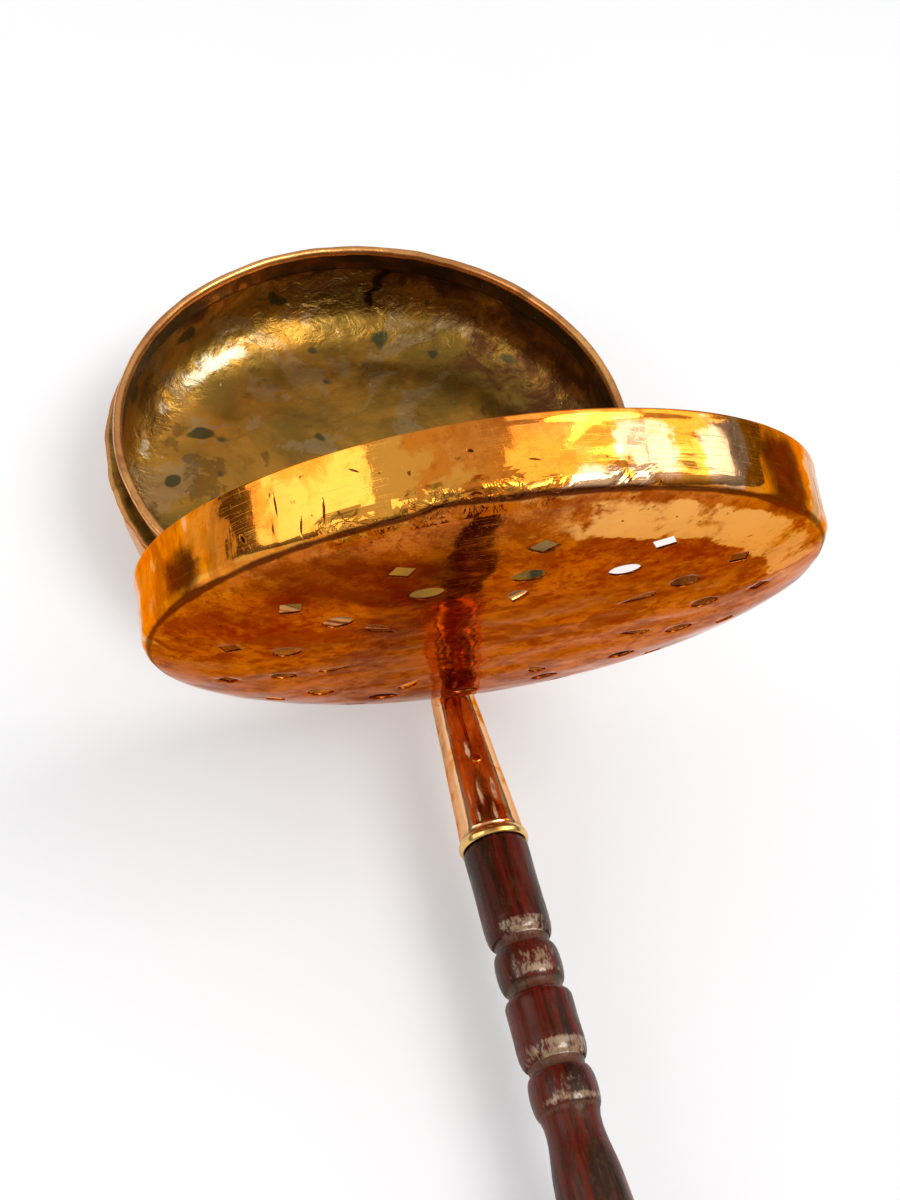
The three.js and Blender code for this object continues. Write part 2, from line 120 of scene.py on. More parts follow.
def gridPiece(name, grid, material, body, node, keep=None, values=None, startPole=True,
              ringClosed=False):
    # A grid of points in rows that run all the way round: neighbours become quads, and the first and
    # last rows close on a point, or on each other for a ring.
    rows, columns = grid.shape[:2]
    index = np.arange(rows * columns).reshape(rows, columns)
    lower = index if ringClosed else index[:-1]
    upper = np.roll(index, -1, 0) if ringClosed else index[1:]
    quads = np.stack([lower, np.roll(lower, -1, 1), np.roll(upper, -1, 1), upper], -1)
    if keep is not None:
        quads = quads[keep]
    quads = quads.reshape(-1, 4)
    points = grid.reshape(-1, 3)
    faces = quads.tolist()
    if not ringClosed and startPole:
        faces += np.stack([np.roll(index[0], -1), index[0], np.full(columns, len(points))], 1).tolist()
        points = np.vstack([points, grid[0].mean(0)])
    if not ringClosed:
        faces += np.stack([index[-1], np.roll(index[-1], -1), np.full(columns, len(points))], 1).tolist()
        points = np.vstack([points, grid[-1].mean(0)])
    mesh = bpy.data.meshes.new(name)
    mesh.from_pydata((points * mm).tolist(), [], faces)
    layer = mesh.uv_layers.new(name="Surface")
    corner = np.zeros(len(mesh.loops), np.int64)
    mesh.loops.foreach_get("vertex_index", corner)
    step = np.linalg.norm(np.diff(grid, axis=0), axis=2).mean(1)
    run = np.concatenate([[0], np.cumsum(step)])
    girth = np.linalg.norm(np.diff(grid, axis=1), axis=2).sum(1).max()
    inside = corner < rows * columns
    row = np.where(inside, corner // columns, np.where(corner == rows * columns, 0, rows - 1))
    column = np.where(inside, corner % columns, 0).astype(float)
    total = np.zeros(len(mesh.polygons), np.int32)
    mesh.polygons.foreach_get("loop_total", total)
    owner = np.repeat(np.arange(len(total)), total)
    highest = np.zeros(len(total))
    np.maximum.at(highest, owner, column)
    column = np.where((highest[owner] == columns - 1) & (column == 0), columns, column)
    uv = np.stack([column / columns * girth * mm, run[row] * mm], 1)
    layer.data.foreach_set("uv", uv.ravel())
    for key, value in (values or {}).items():
        full = np.concatenate([value.ravel(), np.full(len(points) - rows * columns, value[-1].mean())])
        mesh.attributes.new(key, "FLOAT", "POINT").data.foreach_set("value", full.astype(np.float32))
    piece = bpy.data.objects.new(name, mesh)
    bpy.context.scene.collection.objects.link(piece)
    edit = bmesh.new()
    edit.from_mesh(mesh)
    bmesh.ops.delete(edit, geom=[v for v in edit.verts if not v.link_faces], context="VERTS")
    edit.to_mesh(mesh)
    edit.free()
    mesh.shade_smooth()
    for item in material if isinstance(material, list) else [material]:
        mesh.materials.append(item)
    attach(piece, body)
    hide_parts(node)
    return piece


def turnedGrid(profile, columns):
    # A profile of radius and station turned about -Y, with the outward direction of each column.
    angle = roundAngles(columns)
    outward = np.stack([np.cos(angle), 0 * angle, np.sin(angle)], -1)
    grid = profile[:, 0, None, None] * outward
    grid[..., 1] = -profile[:, 1, None]
    return grid, outward


def unevenGrid(profile, columns, rough, seed, size):
    # The turned profile with a little noise added to each radius, less and less near the axis.
    grid, outward = turnedGrid(profile, columns)
    uneven = waveNoise(grid, seed, size) * rough * np.clip(profile[:, 0, None] / 3, 0, 1)
    return grid + uneven[..., None] * outward


def softenedCopy(name, node, material, body, width):
    # The solid's own shape with its loose triangles joined, flat faces dissolved and edges rounded.
    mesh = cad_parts[node].data.copy()
    mesh.name = name
    edit = bmesh.new()
    edit.from_mesh(mesh)
    bmesh.ops.remove_doubles(edit, verts=edit.verts, dist=2e-6)
    bmesh.ops.dissolve_limit(edit, angle_limit=math.radians(1.5), verts=edit.verts, edges=edit.edges)
    edit.to_mesh(mesh)
    edit.free()
    mesh.materials.clear()
    mesh.materials.append(material)
    piece = bpy.data.objects.new(name, mesh)
    bpy.context.scene.collection.objects.link(piece)
    mesh.shade_smooth()
    bevel = piece.modifiers.new("rounded edges", "BEVEL")
    bevel.width = width * mm
    bevel.segments = 2
    bevel.limit_method = "ANGLE"
    bevel.angle_limit = math.radians(32)
    bevel.harden_normals = True
    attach(piece, body)
    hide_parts(node)


class Nodes:
    # Short calls for the nodes of one tree.
    def __init__(self, tree):
        self.tree = tree
        self.place = self.add("ShaderNodeTexCoord")

    def add(self, kind, inputs=None, **settings):
        node = self.tree.nodes.new(kind)
        for key, value in settings.items():
            setattr(node, key, value)
        for key, value in (inputs or {}).items():
            self.put(node.inputs[key], value)
        return node

    def put(self, socket, value):
        if isinstance(value, bpy.types.NodeSocket):
            self.tree.links.new(value, socket)
        else:
            socket.default_value = value

    def between(self, value, low, high, start=0.0, stop=1.0):
        inputs = {0: value, 1: low, 2: high, 3: start, 4: stop}
        return self.add("ShaderNodeMapRange", inputs, interpolation_type="SMOOTHSTEP").outputs[0]

    def sum(self, a, b, operation="ADD"):
        return self.add("ShaderNodeMath", {0: a, 1: b}, operation=operation, use_clamp=False).outputs[0]

    def times(self, a, b):
        return self.sum(a, b, "MULTIPLY")

    def mix(self, amount, a, b):
        node = self.add("ShaderNodeMix", data_type="RGBA")
        self.put(node.inputs[0], amount)
        for socket, colour in ((node.inputs[6], a), (node.inputs[7], b)):
            self.put(socket, colour if isinstance(colour, bpy.types.NodeSocket) else (*colour, 1))
        return node.outputs[2]


class Finish(Nodes):
    # One material with its shader, and the calls that only a surface needs.
    def __init__(self, name):
        self.material = bpy.data.materials.new(name)
        self.material.use_nodes = True
        self.material.node_tree.nodes.clear()
        super().__init__(self.material.node_tree)
        self.shader = self.add("ShaderNodeBsdfPrincipled")
        self.output = self.add("ShaderNodeOutputMaterial", {0: self.shader.outputs[0]})

    def spot(self, scale=(1, 1, 1), turn=(0, 0, 0), source="Object"):
        turn = tuple(math.radians(a) for a in turn)
        inputs = {"Vector": self.place.outputs[source], "Scale": scale, "Rotation": turn}
        return self.add("ShaderNodeMapping", inputs).outputs[0]

    def noise(self, vector, scale, detail=4.0, roughness=0.55, distortion=0.0):
        inputs = {"Vector": vector, "Scale": scale, "Detail": detail, "Roughness": roughness,
                  "Distortion": distortion}
        return self.add("ShaderNodeTexNoise", inputs).outputs[0]

    def turnedNoise(self, turn, *settings):
        return self.noise(self.spot(turn=turn), *settings)

    def cells(self, vector, scale):
        inputs = {"Vector": vector, "Scale": scale, "Smoothness": 1.0}
        return self.add("ShaderNodeTexVoronoi", inputs, feature="SMOOTH_F1").outputs["Distance"]

    def over(self, colour, amount, share, new):
        # A new colour laid over another one, by a share of the amount.
        return self.mix(self.times(amount, share), colour, new)

    def value(self, name):
        return self.add("ShaderNodeAttribute", attribute_name=name).outputs["Fac"]

    def patch(self, name, cloud, spread=0.5):
        # A painted value with a ragged border: the noise moves the line at which it starts.
        moved = self.sum(self.value(name), self.between(cloud, 0.3, 0.7, -spread, spread))
        return self.times(self.between(moved, 0.30, 0.75), self.between(self.value(name), 0.02, 0.2))

    def cut(self, place, halfWidth, halfLength, turn):
        # One nick: full inside an ellipse at a place of the "Surface" coordinates, none outside it.
        inputs = {"Vector": self.place.outputs["UV"], "Location": (place[0] * mm, place[1] * mm, 0),
                  "Rotation": (0, 0, math.radians(turn)), "Scale": (halfWidth * mm, halfLength * mm, 1)}
        inside = self.add("ShaderNodeMapping", inputs, vector_type="TEXTURE").outputs[0]
        distance = self.add("ShaderNodeVectorMath", {0: inside}, operation="LENGTH").outputs["Value"]
        return self.between(distance, 1.1, 0.5)

    def bump(self, height, distance, before=None, strength=1.0):
        node = self.add("ShaderNodeBump", {"Height": height, "Distance": distance * mm, "Strength": strength})
        if before is not None:
            self.put(node.inputs["Normal"], before)
        return node.outputs[0]

    def finish(self, colour, roughness, normal, **constants):
        self.put(self.shader.inputs["Base Color"], colour)
        self.put(self.shader.inputs["Roughness"], roughness)
        self.put(self.shader.inputs["Normal"], normal)
        for key, value in constants.items():
            self.shader.inputs[key].default_value = value
        return self.material


copperLook = {
    "orange": (0.82, 0.248, 0.020), "deep": (0.52, 0.110, 0.010), "pale": (0.92, 0.39, 0.08),
    "tarnish": (0.105, 0.024, 0.005), "speck": (0.07, 0.02, 0.006),
    "edge": (0.96, 0.48, 0.16), "rubbedAndHighlightEdge": (0.97, 0.72, 0.48),
    "faceEdge": (0.94, 0.52, 0.335), "faceEdgeDark": (0.68, 0.40, 0.31),
    "rubbedAndHighlight": (0.94, 0.55, 0.30), "gold": (0.90, 0.385, 0.050),
    # the face's colours are darker copies of the skirt's: painted shade for the dark surroundings that the
    # dome reflects
    "faceOrange": (0.50, 0.118, 0.014), "faceDeep": (0.25, 0.040, 0.006), "facePale": (0.74, 0.26, 0.035),
    "faceHighlight": (0.90, 0.42, 0.10), "brown": (0.16, 0.036, 0.006), "faceTarnish": (0.17, 0.024, 0.003),
}

def copperFinish(name, gloss=0.05, worn=1.0, deepShare=0.5, tarnishShare=0.0, streak=(28, 1900, 1), nicks=()):
    # Orange copper mixed with deep red and pale patches by two noises. The piece's own values add dark
    # tarnish together with painted dark reflections, rubbed copper together with painted pale highlights,
    # painted golden reflections, pale and brown streaks at the ends that are painted reflections, and
    # crumpled zones, and nicks are cut at their places.
    look = Finish(name)
    at = look.spot()
    wide = look.noise(at, 13, 4, 0.6, 0.6)
    middle = look.noise(at, 55, 5, 0.62, 0.3)
    fine = look.noise(at, 420, 3, 0.6)
    face = look.value("face")
    # on the face the darker copies of the colours are used: painted shade
    orange = look.mix(face, copperLook["orange"], copperLook["faceOrange"])
    deep = look.mix(face, copperLook["deep"], copperLook["faceDeep"])
    pale = look.mix(face, copperLook["pale"], copperLook["facePale"])
    colour = look.mix(look.between(wide, 0.60 - 0.2 * deepShare, 0.80 - 0.2 * deepShare), orange, deep)
    colour = look.over(colour, look.between(middle, 0.46, 0.74), 0.42, pale)
    grainy = look.turnedNoise((40, 20, 0), 170, 4, 0.7, 0.4)
    cloudy = look.turnedNoise((10, 60, 35), 30, 7, 0.78, 0.5)
    tan = look.turnedNoise((50, 15, 5), 42, 7, 0.75, 0.7)
    dots = look.turnedNoise((5, 5, 80), 620, 3, 0.7)
    for cloud, low, high, share, faceShare, new in (
            (grainy, 0.47, 0.63, 0.40, 0.25, deep), (cloudy, 0.49, 0.57, 0.0, 0.65, deep),
            (tan, 0.55, 0.66, 0.0, 0.45, pale), (dots, 0.54, 0.66, 0.10, 0.30, copperLook["brown"])):
        share = look.sum(share, look.times(face, faceShare))
        colour = look.over(colour, look.between(cloud, low, high), share, new)
    # painted golden reflections, where the piece's gold value puts them
    colour = look.over(colour, look.patch("gold", middle), 0.9, copperLook["gold"])
    pinkish = look.mix(face, copperLook["rubbedAndHighlight"], copperLook["faceHighlight"])
    # rubbed copper together with painted pale highlights, where the piece's rubbed value puts them
    bareAndLit = look.patch("rubbedAndHighlight", middle)
    colour = look.over(colour, bareAndLit, 0.85, pinkish)
    # pale and brown streaks at the skirt's ends: painted reflections
    stripes = look.noise(look.spot((44, 13, 1), source="UV"), 1, 4, 0.58, 1.1)
    ends = look.value("ends")
    colour = look.over(colour, look.between(stripes, 0.34, 0.40, 1, 0), look.times(ends, 0.75), pinkish)
    colour = look.over(colour, look.between(stripes, 0.50, 0.60), look.times(ends, 0.55), copperLook["brown"])
    # tarnish, together with the painted dark reflections that the lid's marks put into the same value
    tarnishAndDarkReflection = look.sum(look.value("tarnishAndDarkReflection"), tarnishShare)
    cloud = look.sum(look.times(tarnishAndDarkReflection, 1.35), look.between(middle, 0.35, 0.68, -0.25, 0.2))
    dark = look.between(cloud, 0.12, 0.95)
    colour = look.mix(dark, colour, look.mix(face, copperLook["tarnish"], copperLook["faceTarnish"]))
    specks = look.between(look.noise(at, 190, 2, 0.5), 0.69, 0.75)
    colour = look.over(colour, specks, 0.8, copperLook["speck"])
    around = look.noise(look.spot(streak, source="UV"), 1, 3, 0.7)
    across = look.noise(look.spot((900, 26, 900), (12, 35, 28)), 1, 3, 0.7)
    scratches = look.sum(look.between(around, 0.58, 0.70), look.times(look.between(across, 0.62, 0.70), 0.7))
    colour = look.over(colour, scratches, 0.20 * worn, pale)
    rough = look.sum(look.between(middle, 0.35, 0.75, gloss, gloss + 0.07 * worn), look.times(dark, 0.22))
    rough = look.sum(rough, look.times(scratches, 0.06 * worn))
    rough = look.sum(rough, look.times(look.between(fine, 0.4, 0.7), 0.03 * worn))
    calm = look.sum(1.0, look.times(face, 0.6), "SUBTRACT")
    normal = look.bump(look.times(look.cells(at, 62), calm), 0.20 * worn)
    normal = look.bump(look.times(look.noise(at, 130, 3, 0.5), calm), 0.08 * worn, normal)
    normal = look.bump(look.times(stripes, ends), 0.4, normal)
    folds = look.times(look.turnedNoise((0, 30, 10), 80, 3, 0.45, 1.6), look.value("crumple"))
    normal = look.bump(folds, 6.5, normal)
    normal = look.bump(scratches, 0.012 * worn, normal)
    for nick in nicks:
        nick = look.cut(*nick)
        colour = look.mix(nick, colour, copperLook["speck"])
        normal = look.bump(nick, -0.5, normal)
    # what shows at a shallow angle: mottled on the face, paler where it is rubbed and where a pale highlight
    # is painted
    mottled = look.between(look.sum(look.times(cloudy, 0.6), look.times(grainy, 0.4)), 0.44, 0.57)
    shallow = look.mix(mottled, copperLook["faceEdge"], copperLook["faceEdgeDark"])
    shallow = look.mix(face, copperLook["edge"], shallow)
    shallow = look.over(shallow, bareAndLit, look.between(face, 0, 1, 0.9, 0.35), copperLook["rubbedAndHighlightEdge"])
    look.put(look.shader.inputs["Specular Tint"], shallow)
    return look.finish(colour, rough, normal, Metallic=1.0)


patinaLook = {
    "gold": (0.50, 0.225, 0.028), "olive": (0.23, 0.125, 0.018), "dark": (0.034, 0.018, 0.007),
    "grey": (0.40, 0.27, 0.135), "green": (0.045, 0.055, 0.022), "cream": (0.80, 0.66, 0.42),
    "red": (0.12, 0.040, 0.010), "lip": (0.88, 0.43, 0.13), "outside": (0.62, 0.25, 0.075),
}


def patinaFinish(name):
    # The bowl's copper: olive and gold clouds, stains with a clear border, green spots, dark red where
    # "shade" says, cream specks and a painted pale gleam, while "bright" brings back rubbed copper and lays a
    # painted highlight on the flange's edge.
    look = Finish(name)
    at = look.spot()
    wide = look.noise(at, 15, 5, 0.60, 0.6)
    middle = look.noise(at, 60, 6, 0.66, 0.5)
    small = look.noise(at, 260, 4, 0.6)
    colour = look.mix(look.between(wide, 0.38, 0.64), patinaLook["olive"], patinaLook["gold"])
    stain = look.turnedNoise((20, 10, 50), 19, 5, 0.62, 0.9)
    darkStain = look.turnedNoise((70, 40, 10), 17, 6, 0.66, 0.3)
    spots = look.turnedNoise((0, 40, 0), 52, 1, 0.4)
    for cloud, low, high, share, new in (
            (stain, 0.535, 0.565, 0.42, "grey"), (darkStain, 0.56, 0.59, 0.45, "dark"),
            (middle, 0.50, 0.70, 0.55, "olive"), (spots, 0.68, 0.73, 0.85, "green")):
        colour = look.over(colour, look.between(cloud, low, high), share, patinaLook[new])
    colour = look.over(colour, look.patch("gleam", middle, 0.35), 0.75, patinaLook["cream"])
    shade = look.value("shade")
    moved = look.sum(shade, look.between(middle, 0.3, 0.7, -0.2, 0.2))
    colour = look.mix(look.between(moved, 0.15, 0.55), colour, patinaLook["red"])
    colour = look.mix(look.between(moved, 0.45, 0.95), colour, patinaLook["dark"])
    specks = look.between(look.turnedNoise((15, 0, 70), 150, 3, 0.6), 0.69, 0.74)
    colour = look.over(colour, specks, look.value("creamSpecks"), patinaLook["cream"])
    # bright brings back rubbed copper, and on the flange's edge it is a painted highlight
    bright = look.value("bright")
    rubbedAndHighlight = look.mix(look.between(wide, 0.4, 0.65), patinaLook["outside"], patinaLook["lip"])
    rubbedAndHighlight = look.over(rubbedAndHighlight, look.between(middle, 0.52, 0.72), 0.5, copperLook["tarnish"])
    amount = look.between(look.sum(bright, look.between(small, 0.3, 0.7, -0.12, 0.12)), 0.25, 0.75)
    colour = look.mix(amount, colour, rubbedAndHighlight)
    rough = look.sum(look.between(middle, 0.3, 0.7, 0.26, 0.46), look.times(amount, -0.10))
    rough = look.sum(rough, look.times(specks, 0.2))
    normal = look.bump(look.cells(at, 60), 0.35)
    normal = look.bump(look.noise(at, 110, 5, 0.6), 0.28, normal)
    folds = look.times(look.turnedNoise((0, 30, 10), 95, 4, 0.6, 1.6), look.value("crumple"))
    normal = look.bump(folds, 4.0, normal)
    normal = look.bump(small, 0.08, normal)
    return look.finish(colour, rough, normal, Metallic=0.9)


def brassFinish():
    # Yellow brass, duller in random patches, with rings of fine turning marks.
    look = Finish("collar brass")
    at = look.spot()
    middle = look.noise(at, 120, 4, 0.6)
    colour = look.mix(look.between(middle, 0.4, 0.7), (0.83, 0.52, 0.17), (0.50, 0.26, 0.06))
    turning = look.noise(look.spot((40, 5200, 1), source="UV"), 1, 2, 0.6)
    rough = look.between(middle, 0.35, 0.7, 0.14, 0.32)
    normal = look.bump(turning, 0.02, look.bump(middle, 0.12))
    return look.finish(colour, rough, normal, Metallic=1.0)


def ironFinish():
    # Forged iron: nearly black scale with brown rust in patches and a pitted surface.
    look = Finish("forged iron")
    at = look.spot()
    rust = look.between(look.noise(at, 140, 5, 0.65), 0.48, 0.66)
    colour = look.mix(rust, (0.055, 0.050, 0.046), (0.16, 0.062, 0.024))
    rough = look.between(look.noise(at, 300, 4), 0.3, 0.7, 0.42, 0.72)
    normal = look.bump(look.noise(at, 520, 5, 0.65), 0.18)
    return look.finish(colour, rough, normal, Metallic=0.75)


woodLook = {
    "dark": (0.020, 0.0052, 0.0030), "red": (0.125, 0.0085, 0.005), "worn": (0.33, 0.255, 0.185),
    "dust": (0.26, 0.19, 0.12), "bloom": (0.060, 0.030, 0.008), "pores": (0.008, 0.004, 0.003),
}


def woodFinish():
    # Dark red-brown stain under an old varnish: streaks of grain along the handle, an olive bloom in
    # short flecks, dust in the hollows, pale worn wood with a painted highlight on the proud edges, and
    # pores pressed in along the grain.
    look = Finish("stained turned wood")
    grain = look.noise(look.spot((85, 5.5, 85), (0, 0, 1.5)), 1, 6, 0.62, 0.8)
    streak = look.noise(look.spot((340, 14, 340)), 1, 4, 0.6, 0.3)
    pores = look.noise(look.spot((900, 60, 900)), 1, 2, 0.5)
    flecks = look.noise(look.spot((520, 210, 520)), 1, 4, 0.7, 0.2)
    cloud = look.noise(look.spot(), 55, 5, 0.65, 0.5)
    colour = look.mix(look.between(grain, 0.40, 0.62), woodLook["dark"], woodLook["red"])
    colour = look.over(colour, look.between(streak, 0.45, 0.70), 0.65, woodLook["dark"])
    bloom = look.times(look.between(flecks, 0.48, 0.62), look.between(cloud, 0.35, 0.60))
    colour = look.over(colour, bloom, 0.55, woodLook["bloom"])
    broken = look.sum(look.between(cloud, 0.3, 0.7, -0.25, 0.25),
                      look.between(flecks, 0.35, 0.65, -0.25, 0.25))
    # the proud edges: worn wood and a painted highlight, in one pale colour
    worn = look.between(look.sum(look.value("edge"), broken), 0.40, 0.95)
    colour = look.over(colour, worn, 0.85, woodLook["worn"])
    look.put(look.shader.inputs["Coat Weight"], look.sum(0.12, look.times(worn, 0.88)))
    dust = look.between(look.sum(look.value("hollow"), look.between(cloud, 0.3, 0.7, -0.2, 0.2)), 0.5, 1.0)
    colour = look.over(colour, dust, 0.18, woodLook["dust"])
    pits = look.between(pores, 0.58, 0.70)
    colour = look.over(colour, pits, 0.7, woodLook["pores"])
    rough = look.sum(look.between(cloud, 0.35, 0.7, 0.26, 0.46), look.times(dust, 0.15))
    rough = look.sum(look.sum(rough, look.times(bloom, 0.12)), look.times(worn, -0.12))
    normal = look.bump(pits, -0.07, look.bump(look.noise(look.spot((160, 60, 160)), 1, 4), 0.26))
    normal = look.bump(flecks, 0.11, look.bump(cloud, 0.32, normal))
    varnish = {"Specular IOR Level": 0.22, "Specular Tint": (1.0, 0.72, 0.48, 1),
               "Coat Roughness": 0.14, "Coat IOR": 1.6, "Coat Tint": (1.0, 0.80, 0.55, 1)}
    return look.finish(colour, rough, normal, **varnish)


ferruleCopper = copperFinish("ferrule copper", gloss=0.07, deepShare=0.45, streak=(1500, 24, 1))
hingeCopper = copperFinish("hinge copper", gloss=0.28, worn=1.1, deepShare=0.9, tarnishShare=0.25)
bowlCopper = patinaFinish("bowl copper")
print("finishes made")


lidShape = {
    "columns": 392, "skirtInset": 0.35, "hemProud": 0.3, "hemHeight": 3.4,
    "skirtHeight": 32.4, "creaseRadius": 7.6, "domeRise": 13.6, "domeFlatness": 5.3,
    "spokes": 14, "firstSpoke": 91.4,
    "diamond": (117.4, 13.0, 10.5), "oval": (92.7, 14.0, 11.6), "teardrop": (69.0, 8.6, 16.5),
    "holeJitter": 0.5, "holeTwist": 3.0, "spread": 2.0,
    "dentRadius": 149.098, "dentReach": 60, "lipHeight": 11.4,
}


def lidProfile():
    # The outside of the sheet: up the skirt, round the crease, then in over the dome, whose height falls
    # with a high power of the radius.
    s = lidShape
    radius = setting["lidRadius"] - s["skirtInset"]
    corner = s["creaseRadius"]
    slope = math.degrees(math.atan(s["domeRise"] * s["domeFlatness"] / (radius - corner)))
    arc = arcPoints((radius - corner, s["skirtHeight"] - corner), (corner, corner), 0, 90 - slope, 9)
    hem = np.array([[radius, h] for h in (0, 0.7, 1.5, 2.3, 3.0, 3.8, 4.8)])
    skirt = linePoints((radius, 4.8), (radius, s["skirtHeight"] - corner), 13)
    edge, edgeHeight = arc[-1]
    stops = [edge, s["diamond"][0], s["oval"][0], s["teardrop"][0], 1.2]
    steps = [13, 12, 12, 30]
    inward = np.concatenate([np.linspace(a, b, n + 1)[1:] for a, b, n in zip(stops, stops[1:], steps)])
    height = edgeHeight + s["domeRise"] * (1 - (inward / edge) ** s["domeFlatness"])
    profile = np.vstack([hem, skirt, arc, np.stack([inward, height], 1)])
    first = len(hem) + len(skirt) + len(arc)
    return profile, [first + 12, first + 24, first + 36]


def holeOutline(kind, u, v):
    # The outline's point in the direction of a point of the unit square, as shares of the half sizes.
    if kind == "diamond":
        size = np.abs(u) + np.abs(v) + 1e-9
        return u / size, v / size
    size = np.hypot(u, v) + 1e-9
    x, y = u / size, v / size
    if kind == "teardrop":
        x = x * np.clip(0.5 + 0.5 * y, 0, 1) ** 0.75 * 1.28
    return x, y


def pierce(x, y, profile, holeRows):
    # Each hole stands in a square of grid cells that is left out: the cells round it are pulled onto the
    # hole's outline, less and less with distance.
    s = lidShape
    columns = s["columns"]
    rows = len(profile)
    random = np.random.default_rng(14)
    keep = np.ones((rows - 1, columns), bool)
    edge = np.zeros((rows, columns))
    rowIndex, columnIndex = np.meshgrid(np.arange(rows), np.arange(columns), indexing="ij")
    cellSize = {"diamond": (4, 3), "oval": (5, 3), "teardrop": (4, 4)}
    for spoke in range(s["spokes"]):
        for kind, centreRow in zip(("diamond", "oval", "teardrop"), holeRows):
            if kind == "teardrop" and spoke % 2:
                continue
            radius, width, height = s[kind]
            centreColumn = (-spoke * columns // s["spokes"]) % columns
            across, along = cellSize[kind]
            aside = (columnIndex - centreColumn + columns // 2) % columns - columns // 2
            u, v = aside / across, (centreRow - rowIndex) / along
            m = np.maximum(np.abs(u), np.abs(v))
            near = (m > 0.99) & (m < s["spread"])
            centreAngle = math.radians(s["firstSpoke"]) + centreColumn * tau / columns
            du, dv = u[near] / m[near], v[near] / m[near]
            angle = centreAngle + du * across * tau / columns
            ringRadius = np.interp(centreRow - dv * along, np.arange(rows), profile[:, 0])
            ringX, ringY = ringRadius * np.cos(angle), ringRadius * np.sin(angle)
            ox, oy = holeOutline(kind, du, dv)
            ox, oy = ox * width / 2 * random.uniform(0.95, 1.05), oy * height / 2 * random.uniform(0.95, 1.05)
            twist = math.radians(random.normal() * s["holeTwist"])
            c, t = math.cos(twist), math.sin(twist)
            ox, oy = ox * c - oy * t, ox * t + oy * c
            ox, oy = ox + random.normal() * s["holeJitter"], oy + random.normal() * s["holeJitter"]
            c, t = math.cos(centreAngle), math.sin(centreAngle)
            toX = radius * c - ox * t + oy * c
            toY = radius * t + ox * c + oy * t
            pull = smoothStep((s["spread"] - m[near]) / (s["spread"] - 1))
            x[near] += pull * (toX - ringX)
            y[near] += pull * (toY - ringY)
            edge[near] = np.maximum(edge[near], pull)
            middleAside = (columnIndex[:-1] + 0.5 - centreColumn + columns // 2) % columns - columns // 2
            keep &= ~((np.abs(middleAside) < across) & (np.abs(rowIndex[:-1] + 0.5 - centreRow) < along))
    return keep, edge


lidDents = [
    # angle and height on the skirt, half width round it, half height, depth, turn in degrees
    (104, 29.5, 13, 4.2, 3.4, 8), (111.5, 27, 5, 2.2, -1.6, 35), (98, 25.5, 8, 1.8, -1.4, -12),
    (107, 33, 6, 2, 1.6, -30), (92, 30.5, 5.5, 2.6, 1.2, 20), (130.5, 13, 1, 6.5, 0.8, 4),
    (126.5, 22, 1.1, 5.5, 0.7, -6), (132.5, 21, 0.9, 4, 0.6, 3), (121, 15.5, 9, 7, 0.9, 15),
    (79, 27.5, 5, 3, 1, 25), (76, 21, 4, 3.2, -0.7, -30), (68, 17, 9, 6, 0.8, 0),
    (46, 17, 6, 11, 1, 5), (36, 15, 4.5, 10, -0.8, -4), (26, 17, 3.5, 9, 0.9, 3),
    (18, 14, 3.5, 9, -0.6, 0), (148, 16, 6, 9, 1, -5), (158, 15, 4, 9, -0.7, 5),
    (168, 18, 5, 8, 0.8, 0), (188, 14, 9, 8, 0.7, 10), (212, 18, 7, 6, 0.8, -20),
    (236, 15, 8, 7, 0.6, 30), (300, 17, 9, 7, 0.7, -15), (328, 16, 6, 8, 0.7, 12),
    (350, 13, 8, 6, 0.6, -8),
]


lidMarks = {
    # angle and height on the skirt, half width round it, half height, strength
    # painted golden reflections
    "gold": [(121, 15, 34, 15, 1), (105, 24, 12, 8, 0.45), (67.5, 19, 9, 8, 0.9)],
    # painted pale highlights
    "rubbedAndHighlight": [(84, 27, 16, 5, 0.6), (76, 20, 13, 12, 0.75), (90, 31, 24, 3, 0.3),
               (62, 17, 11, 14, 0.8),
               (176, 15, 9, 18, 0.7), (161, 9, 8, 6, 0.6), (26, 15, 36, 20, 0.95)],
    # painted dark reflections
    "tarnishAndDarkReflection": [(46.5, 18, 17, 15, 0.85), (31, 18, 2, 13, 0.45), (154, 20, 13, 10, 0.70),
            (98, 26, 12, 4, 0.30)],
    "crumple": [(104, 28.5, 18, 6.5, 1), (93, 31, 12, 4, 0.4), (119, 30, 13, 5, 0.6),
                (79, 28, 9, 5, 0.3), (158, 17, 22, 12, 0.12), (32, 16, 20, 12, 0.15)],
    # painted reflection streaks at the ends
    "ends": [(160, 16, 52, 17, 1), (26, 16, 50, 17, 1), (215, 16, 70, 17, 0.45),
             (320, 16, 70, 17, 0.45)],
}


lidNicks = [
    # degrees round the lid and height on the skirt, half width, half length, turn in degrees
    (130.9, 12.3, 0.45, 5, 3), (127.2, 24, 0.5, 4.2, -8), (123.4, 20.5, 0.6, 5.2, -4),
    (137.5, 20.5, 1.1, 2.6, 30), (118, 9, 0.4, 2.2, 60), (101.5, 11, 0.7, 1.4, 70),
    (93, 17.5, 0.35, 2.4, 80), (74.5, 29, 0.5, 1.2, 10),
]

faceMarks = {
    # painted dark reflections on the face: lid x and y of the middle, half width, half height, strength;
    # their second part is a band
    "darkReflection": (-74, 96, 46, 22, 0.62), "darkReflectionBand": (-50, 19, -118, 88, 0.40),
    # the pale crescent, a painted reflection: its inner radius and waves, angle, half width in degrees,
    # strength
    "crescent": (119, 3.5, 50, 34, 0.9),
    # a painted dark reflection and a painted highlight along the crease: height before the crease's end, half
    # width, strength
    "darkFold": (2.0, 1.5, 0.95), "paleFold": (6.2, 1.3, 0.75),
}


